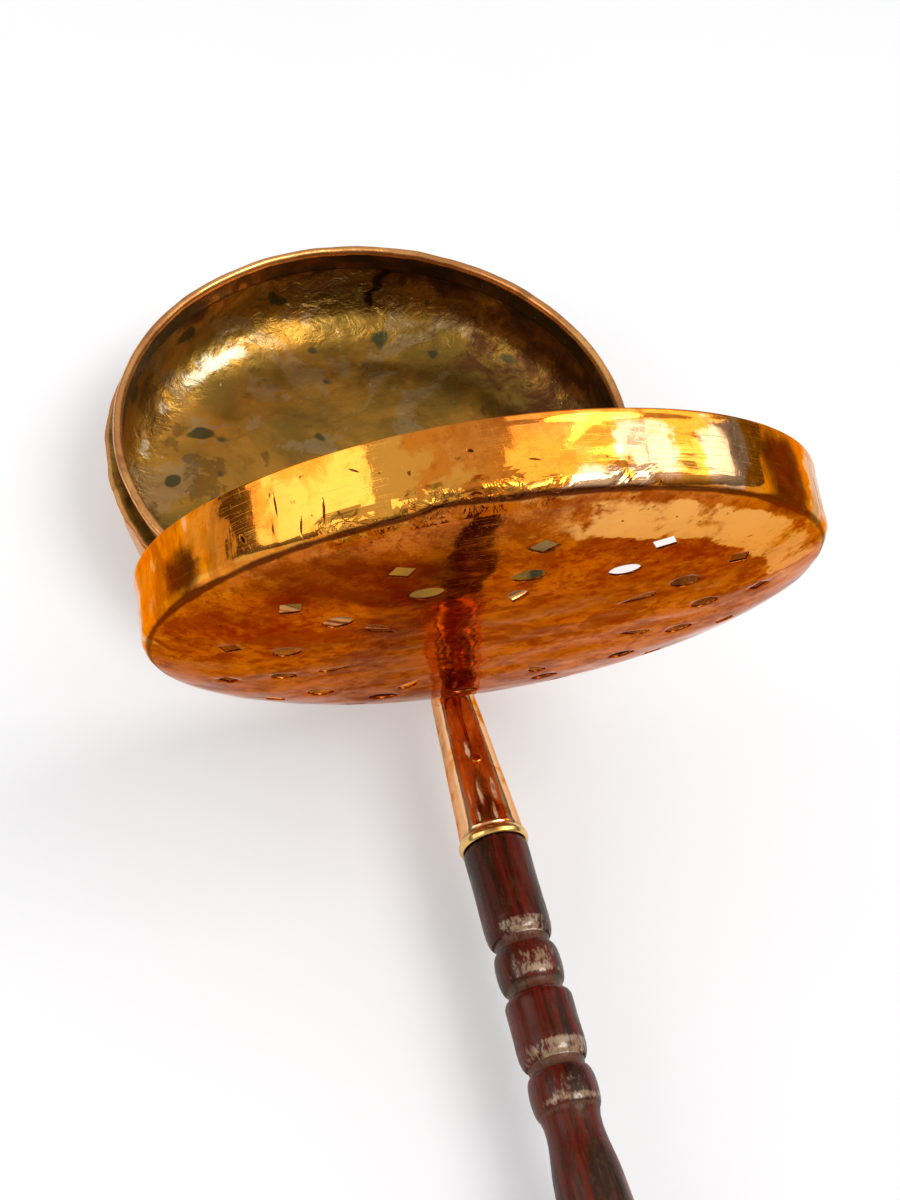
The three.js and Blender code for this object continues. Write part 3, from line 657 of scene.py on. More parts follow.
def skirtMark(name, around, run):
    # The strongest of a list of soft patches, each falling off from its middle like a bell.
    total = np.zeros(np.broadcast_shapes(around.shape, run.shape))
    for place, rise, halfWidth, halfHeight, strength in lidMarks[name]:
        a = ((around - place + 180) % 360 - 180) * math.pi / 180 * setting["lidRadius"] / halfWidth
        b = (run - rise) / halfHeight
        total = np.maximum(total, strength * np.exp(-(a ** 4 + b ** 4) * 0.7))
    return total


def lidPush(base, around, run, upright):
    # How far the sheet stands out: broad swells, hammer marks, then each dent of its own.
    push = 0.28 * waveNoise(base, 5, 70, 2) + 0.10 * waveNoise(base, 6, 24, 2)
    push += upright * (0.30 * waveNoise(base * [1, 1, 0.25], 7, 34, 2) + 0.10 * waveNoise(base, 8, 11, 1))
    for place, rise, halfWidth, halfHeight, depth, turn in lidDents:
        aside = ((around - place + 180) % 360 - 180) * math.pi / 180 * lidShape["dentRadius"]
        up = run - rise
        c, t = math.cos(math.radians(turn)), math.sin(math.radians(turn))
        a, b = (aside * c + up * t) / halfWidth, (-aside * t + up * c) / halfHeight
        push -= depth * np.exp(-(a * a + b * b)) * (run < lidShape["dentReach"])
    push = push * (0.25 + 0.75 * smoothStep(run / 9))
    # no dent reaches the neck ring's lip when the lid is closed
    room = 0.30 + 5 * smoothStep((np.abs(run - lidShape["lipHeight"]) - 6.5) / 5)
    return np.maximum(push, -room)


def lidSurface(base, radius, around, run, crease):
    # The painted values: dark tarnish with painted dark reflections, the face, rubbed metal with painted pale
    # highlights, painted golden reflections, crumpled zones and painted reflection streaks at the ends.
    marks = {name: skirtMark(name, around, run) for name in ("tarnishAndDarkReflection", "rubbedAndHighlight", "gold", "crumple", "ends")}
    x, y = base[..., 0], base[..., 1]
    onFace = smoothStep((run - crease - 2) / 4)
    # painted dark reflections on the face: a patch up on the left and a band below it
    left, top, halfWidth, halfHeight, strength = faceMarks["darkReflection"]
    darkReflection = strength * np.exp(-(((x - left) / halfWidth) ** 4 + ((y - top) / halfHeight) ** 4))
    left, halfWidth, low, high, strength = faceMarks["darkReflectionBand"]
    darkReflection += strength * np.exp(-((x - left) / halfWidth) ** 4) * smoothStep((y - low) / 30) * (y < high)
    # along the crease: a painted dark reflection, and a painted highlight a little lower
    before, width, strength = faceMarks["darkFold"]
    marks["tarnishAndDarkReflection"] += strength * np.exp(-((run - crease + before) / width) ** 2) + darkReflection * onFace
    before, width, strength = faceMarks["paleFold"]
    marks["gold"] = np.maximum(marks["gold"], strength * np.exp(-((run - crease + before) / width) ** 2))
    # the crescent: a painted reflection near the face's rim
    inner, waves, place, halfWidth, strength = faceMarks["crescent"]
    crescent = smoothStep((radius - inner - waves * waveNoise(base, 9, 40, 2)) / 4)
    crescent = crescent * np.exp(-((around - place) / halfWidth) ** 6)
    marks["rubbedAndHighlight"] = np.maximum(marks["rubbedAndHighlight"], strength * crescent * onFace)
    marks["face"] = smoothStep((run - crease + 2.5) / 3) + 0 * radius
    return marks


def makeLid():
    s = lidShape
    girth = tau * (setting["lidRadius"] - s["skirtInset"])
    nicks = [(((place - s["firstSpoke"]) % 360 / 360 * girth, rise), *size)
             for place, rise, *size in lidNicks]
    outside = copperFinish("lid copper", nicks=nicks)
    inside = copperFinish("lid underside copper", gloss=0.26, worn=1.2, deepShare=0.9, tarnishShare=0.45)
    profile, holeRows = lidProfile()
    angle = math.radians(s["firstSpoke"]) + roundAngles(s["columns"])
    outward = np.stack([np.cos(angle), np.sin(angle)], -1)
    x, y = profile[:, 0, None] * outward[:, 0], profile[:, 0, None] * outward[:, 1]
    keep, edge = pierce(x, y, profile, holeRows)
    radius = np.hypot(x, y)
    domeStart = holeRows[0] - 13
    height = np.repeat(profile[:, 1, None], s["columns"], 1)
    edgeRadius, edgeHeight = profile[domeStart]
    dome = edgeHeight + s["domeRise"] * (1 - (radius / edgeRadius) ** s["domeFlatness"])
    height[domeStart:] = dome[domeStart:]
    grid = np.stack([x, y, height], -1)
    around = np.degrees(np.arctan2(y, x)) % 360
    run = np.concatenate([[0], np.cumsum(np.linalg.norm(np.diff(profile, axis=0), axis=1))])[:, None]
    upright = smoothStep((domeStart - np.arange(len(profile)))[:, None] / 8)
    push = lidPush(grid, around, run, upright)
    values = lidSurface(grid, radius, around, run, run[domeStart])
    values["tarnishAndDarkReflection"] += 0.35 * np.clip(-push / 1.6, 0, 1) * upright + 0.20 * edge
    hem = s["hemProud"] * (1 - smoothStep((run - s["hemHeight"] + 0.8) / 0.8))
    shift = np.minimum(push, 0.30 - hem) + hem
    normal = profileNormal(profile)
    grid[..., :2] += (shift * normal[:, 0, None])[..., None] * outward
    grid[..., 2] += shift * normal[:, 1, None]
    grid[0, :, 2] = 0
    lid = gridPiece("copper_lid", openLid(grid), [outside, inside], "lid", "lid_cover",
                    keep=keep, startPole=False, values=values)
    sheet = lid.modifiers.new("sheet", "SOLIDIFY")
    sheet.thickness = setting["lidSheet"] * mm
    sheet.offset = -1
    sheet.use_even_offset = True
    sheet.material_offset = 1
    bevel = lid.modifiers.new("filed edges", "BEVEL")
    bevel.width = 0.28 * mm
    bevel.segments = 2
    bevel.limit_method = "ANGLE"
    bevel.angle_limit = math.radians(48)


makeLid()
print("lid made")


bowlShape = {
    "columns": 384, "baseRadius": 106.0, "curveHeight": 27.0, "wallRadius": 148.5, "sheet": 1.2,
    "ledgeHeight": 52.0, "ledgeRadius": 153.2, "neckSheet": 1.0, "scallop": 0.6,
    "curlRadius": 145.3, "curlHeight": 63.7, "curlInner": 1.7, "curlOuter": 2.7, "crackX": 33,
    "gleams": ((123, 10, 0.9), (160, 26, 0.4)),
}


def bowlProfile():
    # From the middle of the underside out, up the wall and round the flange, then back down inside.
    # The second value marks the inside.
    s = bowlShape
    wall, base, inner = s["wallRadius"], s["baseRadius"], s["wallRadius"] - s["sheet"]
    under = s["ledgeHeight"] - s["sheet"] - s["neckSheet"] - 0.3
    half = s["sheet"] / 2
    outside = [
        linePoints((0, 0), (base, 0), 15),
        arcPoints((base, s["curveHeight"]), (wall - base, s["curveHeight"]), -90, 0, 22),
        linePoints((wall, s["curveHeight"]), (wall, under - 1), 9),
        arcPoints((wall + 1, under - 1), (1, 1), 180, 90, 4),
        arcPoints((s["ledgeRadius"] - half, under + half), (half, half), -90, 90, 8),
    ]
    inside = [
        linePoints((s["ledgeRadius"] - 1, under + s["sheet"]), (inner + 1, under + s["sheet"]), 3),
        arcPoints((inner + 1, under + s["sheet"] - 1), (1, 1), 90, 180, 4),
        linePoints((inner, under + s["sheet"] - 1), (inner, s["curveHeight"]), 13),
        arcPoints((base, s["curveHeight"]), (inner - base, s["curveHeight"] - s["sheet"]), 0, -90, 34),
        linePoints((base, s["sheet"]), (0, s["sheet"]), 40),
    ]
    outer, innerRows = np.vstack(outside), np.vstack(inside)
    mark = np.concatenate([np.zeros(len(outer)), np.ones(len(innerRows))])
    return np.vstack([outer, innerRows]), mark


def neckProfile():
    # Once round the ring's sheet: out over the flange, up the neck, round the rolled lip and down inside.
    s = bowlShape
    top, under = s["ledgeHeight"], s["ledgeHeight"] - s["neckSheet"]
    half = s["neckSheet"] / 2
    neckOut, neckIn = s["curlRadius"] - s["curlInner"], s["curlRadius"] - s["curlOuter"]
    curl = (s["curlRadius"], s["curlHeight"])
    outer = np.vstack([
        linePoints((neckIn, under), (s["ledgeRadius"] - 0.5 - half, under), 6),
        arcPoints((s["ledgeRadius"] - 0.5 - half, top - half), (half, half), -90, 90, 8),
        linePoints((s["ledgeRadius"] - 1, top), (neckOut + 0.8, top), 7),
        arcPoints((neckOut + 0.8, top + 0.8), (0.8, 0.8), -90, -180, 4),
        linePoints((neckOut, top + 0.8), (neckOut, curl[1]), 7),
        arcPoints(curl, (s["curlInner"], s["curlInner"]), 180, -105, 16),
    ])
    inner = np.vstack([
        arcPoints(curl, (s["curlOuter"], s["curlOuter"]), -105, 180, 26),
        linePoints((neckIn, curl[1]), (neckIn, under), 12),
        [[neckIn, under]],
    ])
    mark = np.concatenate([np.zeros(len(outer)), np.ones(len(inner))])
    return np.vstack([outer, inner]), mark


def ringOf(profile, columns):
    # The profile carried round the pan's axis, with the outward direction at each step.
    angle = roundAngles(columns)
    spread = np.stack([np.cos(angle), np.sin(angle)], -1)
    flat = profile[:, 0, None, None] * spread
    height = np.broadcast_to(profile[:, 1, None, None], (*flat.shape[:2], 1))
    return np.concatenate([flat, height], -1), spread


def ledgeShift(base, radius, height, edge):
    # The seam is dressed with a hammer: its edge comes and goes in scallops and lies a little unevenly.
    s = bowlShape
    flat = base * [1, 1, 0]
    ledge = smoothStep((radius - s["wallRadius"] - 0.8) / 2.5)
    wavy = waveNoise(flat, 23, 24, 2)
    aside = -(s["scallop"] * np.clip(wavy + 0.55, 0, 1.6) + edge) * ledge
    rise = 0.16 * waveNoise(flat, 24, 40, 2) * smoothStep((radius - 146.5) / 3)
    rise = rise * (height > 49) * (height < 53)
    return aside, rise


def makeBowl():
    s = bowlShape
    profile, inside = bowlProfile()
    normal = profileNormal(profile)
    base, spread = ringOf(profile, s["columns"])
    radius, height = profile[:, 0, None], profile[:, 1, None]
    # the sheet's swells move both sides of the wall together
    low = smoothStep((s["ledgeHeight"] - 6 - height) / 8)
    side = smoothStep((radius - s["baseRadius"] - 6) / 30)
    wallPush = -0.9 * np.clip(waveNoise(base * [1, 1, 0.4], 21, 60, 2) + 0.25, 0, 2) * low * side
    floorPush = 0.9 * np.clip(waveNoise(base * [1, 1, 0], 22, 75, 2) + 0.2, 0, 2)
    floorPush = floorPush * (1 - side) * smoothStep(radius / 30)
    aside, rise = ledgeShift(base, radius, height, 0.0)
    grid = base.copy()
    # wrinkles and hammer marks inside only
    inner = inside[:, None]
    wrinkle = 0.16 * waveNoise(base, 26, 24, 3) + 0.06 * waveNoise(base, 27, 8, 2)
    bend = np.exp(-((radius - 136) / 12) ** 2) * np.exp(-((height - 14) / 16) ** 2)
    push = (wrinkle * (0.35 + 1.3 * bend) - 0.30) * inner * smoothStep((49 - height) / 6)
    # a fold and a short crack stand in the far wall
    across = base[..., 0] - s["crackX"] - 1.6 * np.sin(base[..., 2] * 0.45) - 0.35 * (height - 30)
    fold = (base[..., 1] > 0) * np.exp(-(across / 2) ** 2) * smoothStep((height - 12) / 10)
    push = push - 0.7 * fold * smoothStep((46 - height) / 8) * inner
    grid[..., :2] += (wallPush + aside + push * normal[:, 0, None])[..., None] * spread
    grid[..., 2] += floorPush + rise + push * normal[:, 1, None]
    shade = inner * smoothStep((height - 24) / 28) * (0.40 + 0.3 * waveNoise(base, 28, 60, 2))
    right = smoothStep((base[..., 0] - 10) / 120) * smoothStep((base[..., 1] + 20) / 80)
    shade = np.clip(shade + 0.45 * right * inner * smoothStep((radius - 70) / 60), 0, 1) + 1.4 * fold * inner
    at = np.degrees(np.arctan2(base[..., 1], base[..., 0]))
    gleam = sum(strength * np.exp(-((at - place) / width) ** 4) for place, width, strength in s["gleams"])
    gleam = inner * gleam * np.exp(-((radius - 136) / 5) ** 2) * smoothStep((34 - height) / 8)
    crumple = inner * (np.exp(-((at - 86) / 22) ** 2) * smoothStep((height - 12) / 10) + 0.25 * bend)
    # rubbed copper outside the bowl, and a painted highlight on the flange's edge
    bright = (1 - inner) * (1 - 0.6 * smoothStep((height - 44) / 5)) + smoothStep((radius - 151.5) / 0.8)
    # cream specks: a few everywhere inside, most along the bend
    creamSpecks = inner * (0.12 + 0.88 * np.clip(bend * 1.3 + 0.4 * waveNoise(base, 29, 50, 2), 0, 1))
    gridPiece("copper_bowl", grid, bowlCopper, "pan", "pan_bowl",
              values={"shade": shade, "bright": bright + 0 * shade, "creamSpecks": creamSpecks, "gleam": gleam,
                      "crumple": crumple + 0 * shade})


def makeNeck():
    s = bowlShape
    profile, inside = neckProfile()
    base, spread = ringOf(profile, s["columns"])
    radius, height = profile[:, 0, None], profile[:, 1, None]
    inner = inside[:, None]
    flat = base * [1, 1, 0]
    aside, rise = ledgeShift(base, radius, height, 0.35 * np.clip(waveNoise(flat, 30, 9, 2), 0, 1))
    # the lip is rolled over its wire by hand
    lip = smoothStep((height - s["ledgeHeight"] - 5) / 5)
    uneven = 0.30 * np.clip(waveNoise(flat, 25, 45, 3) + 0.3, 0, 1.5)
    sink = 0.28 * np.clip(waveNoise(flat, 36, 30, 2) + 0.2, 0, 1.5)
    grid = base.copy()
    grid[..., :2] += (aside - uneven * lip)[..., None] * spread
    grid[..., 2] += np.clip(rise, -0.05, 0.2) - sink * lip
    onLip = smoothStep((height - 61.8) / 1.6)
    flange = smoothStep((radius - 150.2) / 1.2)
    neckDark = (1 - onLip) * (1 - flange) * (0.2 + 0.8 * inner)
    # the flange's edge: a painted highlight through bright and gleam; the lip: rubbed copper
    gridPiece("neck_ring_copper", grid, bowlCopper, "pan", "neck_ring", ringClosed=True,
              values={"shade": neckDark * (0.8 + 0.3 * waveNoise(base, 37, 50, 2)),
                      "bright": np.maximum(onLip, 0.85 * flange) + 0 * aside,
                      "creamSpecks": 0.2 * neckDark + 0 * aside,
                      "gleam": 0.35 * flange + 0 * aside, "crumple": 0 * aside * neckDark})


makeBowl()
makeNeck()
print("bowl made")


woodShape = {
    "start": 269.5, "spigotStart": 203.7, "drum": 16.4, "groove": 13.7, "bow": 0.25,
    "chamfer": 8.0, "bead": 16.0, "beadLength": 19.0, "firstDrum": 44.0, "secondDrum": 24.5,
    "grooveLength": 4.5,
    "neck": 13.2, "swell": 18.2, "tail": 13.8, "shaft": 362.0, "grip": 16.6, "gripLength": 54.0,
    "knob": 19.0, "knobLength": 44.0,
}
ferruleShape = {
    "start": 150.7, "length": 113.0, "root": 10.1, "end": 16.4, "sheet": 1.2, "lap": 250, "lapStep": 0.45,
    "collar": 5.2, "collarProud": 1.3, "nail": 225, "nailHead": 2.6, "nailRise": 1.1, "nailShank": 1.2,
}


def ferruleRadius(station):
    s = ferruleShape
    return np.interp(station, [s["start"], s["start"] + s["length"]], [s["root"], s["end"]])


def woodProfile():
    # Drums with drawn-in sides, chamfers, round-bottomed grooves and round beads, then a shaft that swells
    # and narrows, a second set of turnings and a knob. The two marks are proud edges, pale with wear and a
    # painted highlight, and hollows.
    s = woodShape
    rows, marks = [], []

    def put(points, edge=0.0, hollow=0.0):
        rows.append(np.atleast_2d(points))
        marks.append(np.tile([edge, hollow], (len(rows[-1]), 1)))

    spigot = ferruleRadius(np.array([s["spigotStart"], s["start"]])) - ferruleShape["sheet"] - 0.35
    end = ferruleShape["start"] + ferruleShape["length"]
    put([[0.5, s["spigotStart"]], [spigot[0] - 1, s["spigotStart"]], [spigot[0], s["spigotStart"] + 1]])
    put(linePoints([spigot[0], s["spigotStart"] + 1], [ferruleRadius(end) - 1.6, end], 6))
    put([[ferruleRadius(end) - 1.6, end], [ferruleRadius(end) - 1.6, s["start"] - 0.05]])
    station = s["start"]

    def drum(radius, length):
        nonlocal station
        t = np.linspace(0, 1, int(length / 1.6) + 2)
        rounding = 0.9 * np.exp(-t * length / 0.9) + 0.25 * np.exp(-(1 - t) * length / 0.5)
        put(np.stack([radius - s["bow"] * np.sin(math.pi * t) - rounding, station + t * length], 1))
        marks[-1][:, 0] = 0.55 * np.exp(-t * length / 1.2) + 0.40 * np.exp(-(1 - t) * length / 0.8)
        station += length

    def chamfer(radius):
        nonlocal station
        t = np.linspace(0, 1, 8)[1:]
        fall = 0.92 + 0.08 * (1 - t) ** 0.8
        radii = np.maximum(radius * fall - 1.4 * t ** 6, s["groove"])
        # the whole chamfer takes the edge mark: a painted highlight on worn wood
        put(np.stack([radii, station + t * s["chamfer"]], 1), 0.85)
        station += s["chamfer"]

    def groove():
        nonlocal station
        t = np.linspace(0, 1, 7)
        put(np.stack([s["groove"] - 0.5 * np.sin(math.pi * t), station + t * s["grooveLength"]], 1), 0.0, 1.0)
        station += s["grooveLength"]

    def bead(radius):
        nonlocal station
        a = np.radians(np.linspace(-90, 90, 21)[1:-1])
        rise = radius - s["groove"]
        along = station + s["beadLength"] / 2 * (1 + np.sin(a))
        put(np.stack([s["groove"] + rise * np.cos(a) ** 0.85, along], 1))
        # the edge mark: worn wood round the crown, and a painted highlight just past it
        marks[-1][:, 0] = 0.45 * np.cos(a) ** 4 + 0.75 * np.exp(-((a - 0.75) / 0.28) ** 2)
        marks[-1][:, 1] = np.abs(np.sin(a)) ** 8
        station += s["beadLength"]

    def turnings(radius, length):
        drum(radius, length)
        chamfer(radius)
        groove()
        bead(s["bead"])

    turnings(s["drum"], s["firstDrum"])
    groove()
    station += 1.5
    turnings(s["drum"], s["secondDrum"])
    t = np.linspace(0, 1, 90)
    knots = np.array([0.0, 0.015, 0.08, 0.30, 0.68, 1.0])
    neck, swell, tail = s["neck"], s["swell"], s["tail"]
    sizes = np.array([s["groove"], neck, (neck + swell) / 2, swell, (tail + swell) / 2, tail])
    slopes = np.gradient(sizes, knots)
    slopes[3] = 0
    k = np.clip(np.searchsorted(knots, t, side="right") - 1, 0, 4)
    h = knots[k + 1] - knots[k]
    q = (t - knots[k]) / h
    curve = ((1 + 2 * q) * (1 - q) ** 2 * sizes[k] + q * (1 - q) ** 2 * h * slopes[k]
             + q * q * (3 - 2 * q) * sizes[k + 1] + q * q * (q - 1) * h * slopes[k + 1])
    put(np.stack([np.minimum(curve, s["swell"]), station + t * s["shaft"]], 1)[1:])
    station += s["shaft"] + 1
    bead(s["bead"])
    groove()
    station += 1.5
    turnings(s["grip"], s["gripLength"])
    put([[s["neck"] * 0.86, station + 1.2], [s["neck"] * 0.8, station + s["grooveLength"]]], 0, 1)
    station += s["grooveLength"]
    a = np.radians(np.linspace(-44, 89, 26))
    put(np.stack([s["knob"] * np.cos(a), station + s["knobLength"] / 2 * (1 + np.sin(a))], 1))
    marks[-1][:, 0] = 0.6 * np.exp(-((a - 0.9) / 0.5) ** 2)
    return np.vstack(rows), np.vstack(marks)


def makeWood():
    profile, marks = woodProfile()
    columns = 80
    grid = turnedGrid(profile, columns)[0]
    # the proud edges are worn, and their pale mark is strongest on the upper side, where it is a painted
    # highlight
    highlightSide = 0.25 + 0.75 * np.exp(-((np.degrees(roundAngles(columns)) - 82) / 55) ** 2)
    gridPiece("turned_handle", alongHandle(grid), woodFinish(), "pan", "handle_wood",
              values={"edge": marks[:, 0, None] * highlightSide, "hollow": marks[:, 1, None] * np.ones(columns)})


def makeFerrule():
    s = ferruleShape
    end = s["start"] + s["length"]
    t = np.linspace(0, 1, 46)
    radius = ferruleRadius(s["start"] + t * s["length"])
    flare = 0.25 * np.exp(-(1 - t) * s["length"] / 1.5)
    outer = np.stack([radius - 0.05 - flare, s["start"] + t * s["length"]], 1)
    inner = np.stack([radius - s["sheet"], s["start"] + t * s["length"]], 1)[::-1]
    profile = np.vstack([outer, inner])
    columns = 112
    angle = roundAngles(columns)
    station = profile[:, 1, None]
    outside = np.concatenate([np.ones(len(outer)), np.zeros(len(inner))])[:, None]
    # a brazed lap runs the whole length underneath, and the sides carry long flats from the hammer
    step = -s["lapStep"] * np.exp(-((angle - math.radians(s["lap"])) % tau) / 0.35) * outside
    grid, outward = turnedGrid(profile, columns)
    flats = -0.16 * np.clip(waveNoise(grid * [1, 0.12, 1], 33, 15, 1) + 0.6, 0, 2)
    dents = -0.16 * np.clip(waveNoise(grid * [1, 0.5, 1], 34, 11, 2), 0, 2)
    push = (step + (flats + dents)) * outside * smoothStep((end - station) / 4)
    grid += push[..., None] * outward
    tarnishAndDarkReflection = np.clip(-push - 0.15, 0, 1)
    tarnishAndDarkReflection += 0.5 * np.exp(-(station - s["start"]) / 5) + 0.35 * np.exp(-(end - station) / 2.5)
    turn = np.degrees(angle)
    # painted highlights: a pale stripe on each side of the top, over a pale ground on the whole outside
    rubbedAndHighlight = np.exp(-((turn - 132) / 20) ** 2) + 0.95 * np.exp(-((turn - 50) / 26) ** 2)
    rubbedAndHighlight = rubbedAndHighlight * (0.75 + 0.25 * waveNoise(grid, 38, 14, 2)) * smoothStep((station - s["start"]) / 20)
    rubbedAndHighlight = np.maximum(rubbedAndHighlight * outside, 0.78 * outside)
    gridPiece("ferrule", alongHandle(grid), ferruleCopper, "pan", "ferrule_cone",
              values={"tarnishAndDarkReflection": tarnishAndDarkReflection, "rubbedAndHighlight": rubbedAndHighlight}, ringClosed=True)

    middle = end + 0.3 + s["collar"] / 2
    bead = arcPoints((woodShape["drum"], middle), (s["collarProud"], s["collar"] / 2), -90, 90, 15)
    bead[:, 0] -= 0.18 * np.exp(-((bead[:, 1] - bead[:, 1].mean() - 1.2) / 0.35) ** 2)
    hole = ferruleRadius(end) - s["sheet"] - 0.05
    grid, outward = turnedGrid(np.vstack([[[hole, bead[0, 1]]], bead, [[hole, bead[-1, 1]]]]), 96)
    grid += 0.10 * (waveNoise(grid, 35, 12, 2)[..., None] - 0.5) * outward
    gridPiece("collar", alongHandle(grid), brassFinish(), "pan", "ferrule_collar", ringClosed=True)


makeWood()
makeFerrule()
print("handle made")


fasteners = {
    "shank": 1.8, "head": 3.3, "headHeight": 1.7, "wallInside": 147.07, "plateOuter": 150.4,
    "plateAcross": 26.0, "plateHeights": (32.8, 43.8),
    "strapAcross": 14.0, "strapRise": 17.6, "strapOuter": 151.6, "skirtInside": 147.3,
}


def rivetProfile(headFace, tailFace):
    # A low round head outside and a smaller hammered one inside, as radius and station.
    s = fasteners
    a = np.radians(np.linspace(4, 90, 9))
    tail = 0.85 * s["head"]
    inner = np.stack([tail * np.sin(a), tailFace - 0.7 * s["headHeight"] * np.cos(a)], 1)
    outer = np.stack([s["head"] * np.sin(a[::-1]), headFace + s["headHeight"] * np.cos(a[::-1])], 1)
    return np.vstack([inner, [[s["shank"], tailFace], [s["shank"], headFace]], outer])


def makeNail():
    # A round head and a pointed shank that stand on the cone's upper side.
    s = ferruleShape
    face = float(ferruleRadius(s["nail"]))
    a = np.radians(np.linspace(3, 90, 8))[::-1]
    head = np.stack([s["nailHead"] * np.sin(a), 0.3 + s["nailRise"] * np.cos(a)], 1)
    nail = np.vstack([[[0.2, -9], [s["nailShank"], -6], [s["nailShank"], 0.3]], head])
    angle = roundAngles(24)
    x, y = nail[:, 0, None] * np.cos(angle), nail[:, 0, None] * np.sin(angle)
    grid = np.stack([x, y - s["nail"], face + nail[:, 1, None] + 0 * angle], -1)
    gridPiece("nail", alongHandle(grid), ferruleCopper, "pan", "ferrule_nail")


def makeFasteners():
    s = fasteners
    profile = rivetProfile(s["plateOuter"] + 0.3, s["wallInside"] - 0.3)
    spots = [(side, height) for side in (-1, 1) for height in s["plateHeights"]]
    for number, (side, height) in enumerate(spots, 1):
        turn = math.degrees(math.asin(side * s["plateAcross"] / bowlShape["wallRadius"]))
        grid = unevenGrid(profile, 28, 0.14, 40 + number, 5)
        gridPiece(f"rivet_{number}", onHinge(grid, (0, 0, height), turn), hingeCopper, "pan",
                  f"plate_rivet_{number}")
    profile = rivetProfile(s["strapOuter"] + 0.3, s["skirtInside"])
    for number, side in enumerate((-1, 1), 1):
        grid = unevenGrid(profile, 28, 0.14, 50 + number, 5)
        place = np.array([side * s["strapAcross"], 0, s["strapRise"]])
        gridPiece(f"lid_rivet_{number}", openLid(grid + place), hingeCopper, "lid",
                  f"strap_rivet_{number}")
    makeNail()
    iron = ironFinish()
    softenedCopy("worn_plate", "hinge_plate", hingeCopper, "pan", 0.45)
    softenedCopy("worn_strap", "hinge_strap", hingeCopper, "lid", 0.4)
    softenedCopy("worn_rove", "tang_rove", hingeCopper, "pan", 0.4)
    softenedCopy("forged_tang", "handle_tang", iron, "pan", 0.5)
    softenedCopy("forged_pin", "hinge_pin", iron, "pan", 0.35)
    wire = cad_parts["lip_wire"]
    wire.data.materials.clear()
    wire.data.materials.append(iron)


makeFasteners()
print("fasteners made")


studio = {
    "floor": (0.92, 0.92, 0.92), "floorGlow": 0.32, "floorHalf": 30.0, "floorDrop": 0.6,
    "zenith": (0.65, 0.65, 0.66), "horizon": (0.034, 0.030, 0.026), "skyRise": 0.65,
    "backdrop": (0.88, 0.88, 0.885), "backdropShare": 0.13,
    "sun": 1.29, "sunAngle": 28, "sunFrom": (0.60, -0.30, 1.0),
    # name: place, target, size, radiance
    "lamps": {
        "left window": ((-1150, -150, 950), (0, -200, 250), (900, 900), 1.5),
        "overhead panel": ((470, -230, 1430), (0, -230, 300), (420, 900), 1.45),
        "front lamp": ((365, -905, 1410), (0, -320, 50), (380, 380), 3.9),
        "right lamp": ((1090, -140, 930), (0, -230, 300), (260, 680), 1.9),
    },
    "camera": (-189.0, -661.7, 791.4), "target": (14.57, -124.52, 52.3), "roll": 8.615, "lens": 52.16,
}


def makeFloor():
    s = studio
    look = Finish("pale floor")
    grey = look.noise(look.spot(), 3, 2)
    colour = look.mix(look.between(grey, 0.3, 0.7), s["floor"], tuple(c * 0.99 for c in s["floor"]))
    normal = look.bump(look.noise(look.spot(), 900, 2), 0.01)
    look.finish(colour, 0.9, normal, **{"Specular IOR Level": 0.1})
    # the camera and the metal see the floor as a plain white that still holds part of the shadow
    rays = look.add("ShaderNodeLightPath").outputs
    seen = look.sum(rays["Is Camera Ray"], rays["Is Glossy Ray"], "MAXIMUM")
    seen = look.times(look.sum(seen, rays["Is Transmission Ray"], "MAXIMUM"), s["floorGlow"])
    white = look.add("ShaderNodeEmission", {"Color": (1, 1, 1, 1), "Strength": 1.0})
    both = look.add("ShaderNodeMixShader", {0: seen, 1: look.shader.outputs[0], 2: white.outputs[0]})
    look.put(look.output.inputs[0], both.outputs[0])
    mesh = bpy.data.meshes.new("floor")
    half, drop = s["floorHalf"], s["floorDrop"] * mm
    corners = [(-half, -half, -drop), (half, -half, -drop), (half, half, -drop), (-half, half, -drop)]
    mesh.from_pydata(corners, [], [(0, 1, 2, 3)])
    mesh.materials.append(look.material)
    floor = bpy.data.objects.new("floor", mesh)
    bpy.context.scene.collection.objects.link(floor)


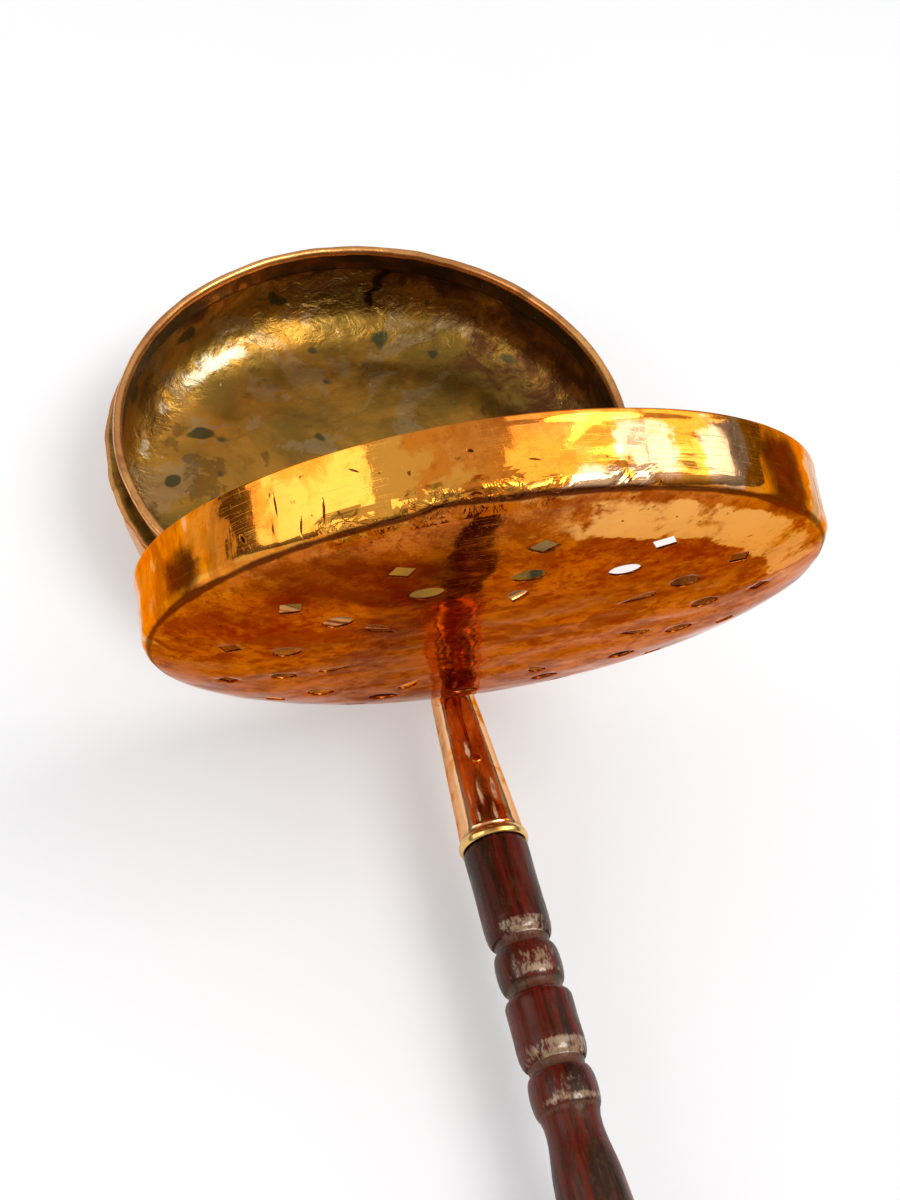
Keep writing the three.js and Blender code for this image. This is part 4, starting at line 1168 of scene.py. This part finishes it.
def makeSky():
    # The sky is darkest at the horizon and brightest overhead. The camera sees a white backdrop in its
    # place, and a share of that white is added to what metal shows.
    s = studio
    world = bpy.data.worlds.new("studio")
    world.use_nodes = True
    sky = Nodes(world.node_tree)
    height = sky.add("ShaderNodeSeparateXYZ", {0: sky.place.outputs["Generated"]}).outputs["Z"]
    shade = sky.mix(sky.between(height, 0, s["skyRise"]), s["horizon"], s["zenith"])
    rays = sky.add("ShaderNodeLightPath").outputs
    shown = sky.sum(rays["Is Glossy Ray"], rays["Is Transmission Ray"], "MAXIMUM")
    seen = sky.sum(sky.times(shown, s["backdropShare"]), rays["Is Camera Ray"], "MAXIMUM")
    sky.put(sky.tree.nodes["Background"].inputs["Color"], sky.mix(seen, shade, s["backdrop"]))
    bpy.context.scene.world = world


def placeLamp(light, place, toLamp):
    lamp = bpy.data.objects.new(light.name, light)
    lamp.location = Vector(place) * mm
    lamp.rotation_euler = Vector(toLamp).to_track_quat("Z", "Y").to_euler()
    bpy.context.scene.collection.objects.link(lamp)


def makeLamps():
    # Each panel's strength is its radiance times pi times its area.
    s = studio
    sun = bpy.data.lights.new("sun", "SUN")
    sun.energy = s["sun"]
    sun.angle = math.radians(s["sunAngle"])
    placeLamp(sun, (0, 0, 0), s["sunFrom"])
    for name, (place, target, size, radiance) in s["lamps"].items():
        light = bpy.data.lights.new(name, "AREA")
        light.shape = "RECTANGLE"
        light.size, light.size_y = size[0] * mm, size[1] * mm
        light.energy = radiance * math.pi * light.size * light.size_y
        placeLamp(light, place, Vector(place) - Vector(target))


def makeCamera():
    # The camera looks from its place to the target, turned about that line by the roll.
    s = studio
    data = bpy.data.cameras.new("camera")
    data.sensor_width = 36
    data.lens = s["lens"]
    data.clip_start = 0.01
    camera = bpy.data.objects.new("camera", data)
    position, target = Vector(s["camera"]) * mm, Vector(s["target"]) * mm
    ahead = (target - position).normalized()
    level = ahead.cross(Vector((0, 0, 1))).normalized()
    upright = level.cross(ahead)
    roll = math.radians(s["roll"])
    right = level * math.cos(roll) + upright * math.sin(roll)
    up = upright * math.cos(roll) - level * math.sin(roll)
    turn = Matrix((right, up, -ahead)).transposed().to_4x4()
    camera.matrix_world = Matrix.Translation(position) @ turn
    bpy.context.scene.collection.objects.link(camera)
    bpy.context.scene.camera = camera
    bpy.context.scene.view_settings.view_transform = "Standard"


makeFloor()
makeSky()
makeLamps()
makeCamera()
print("studio made")
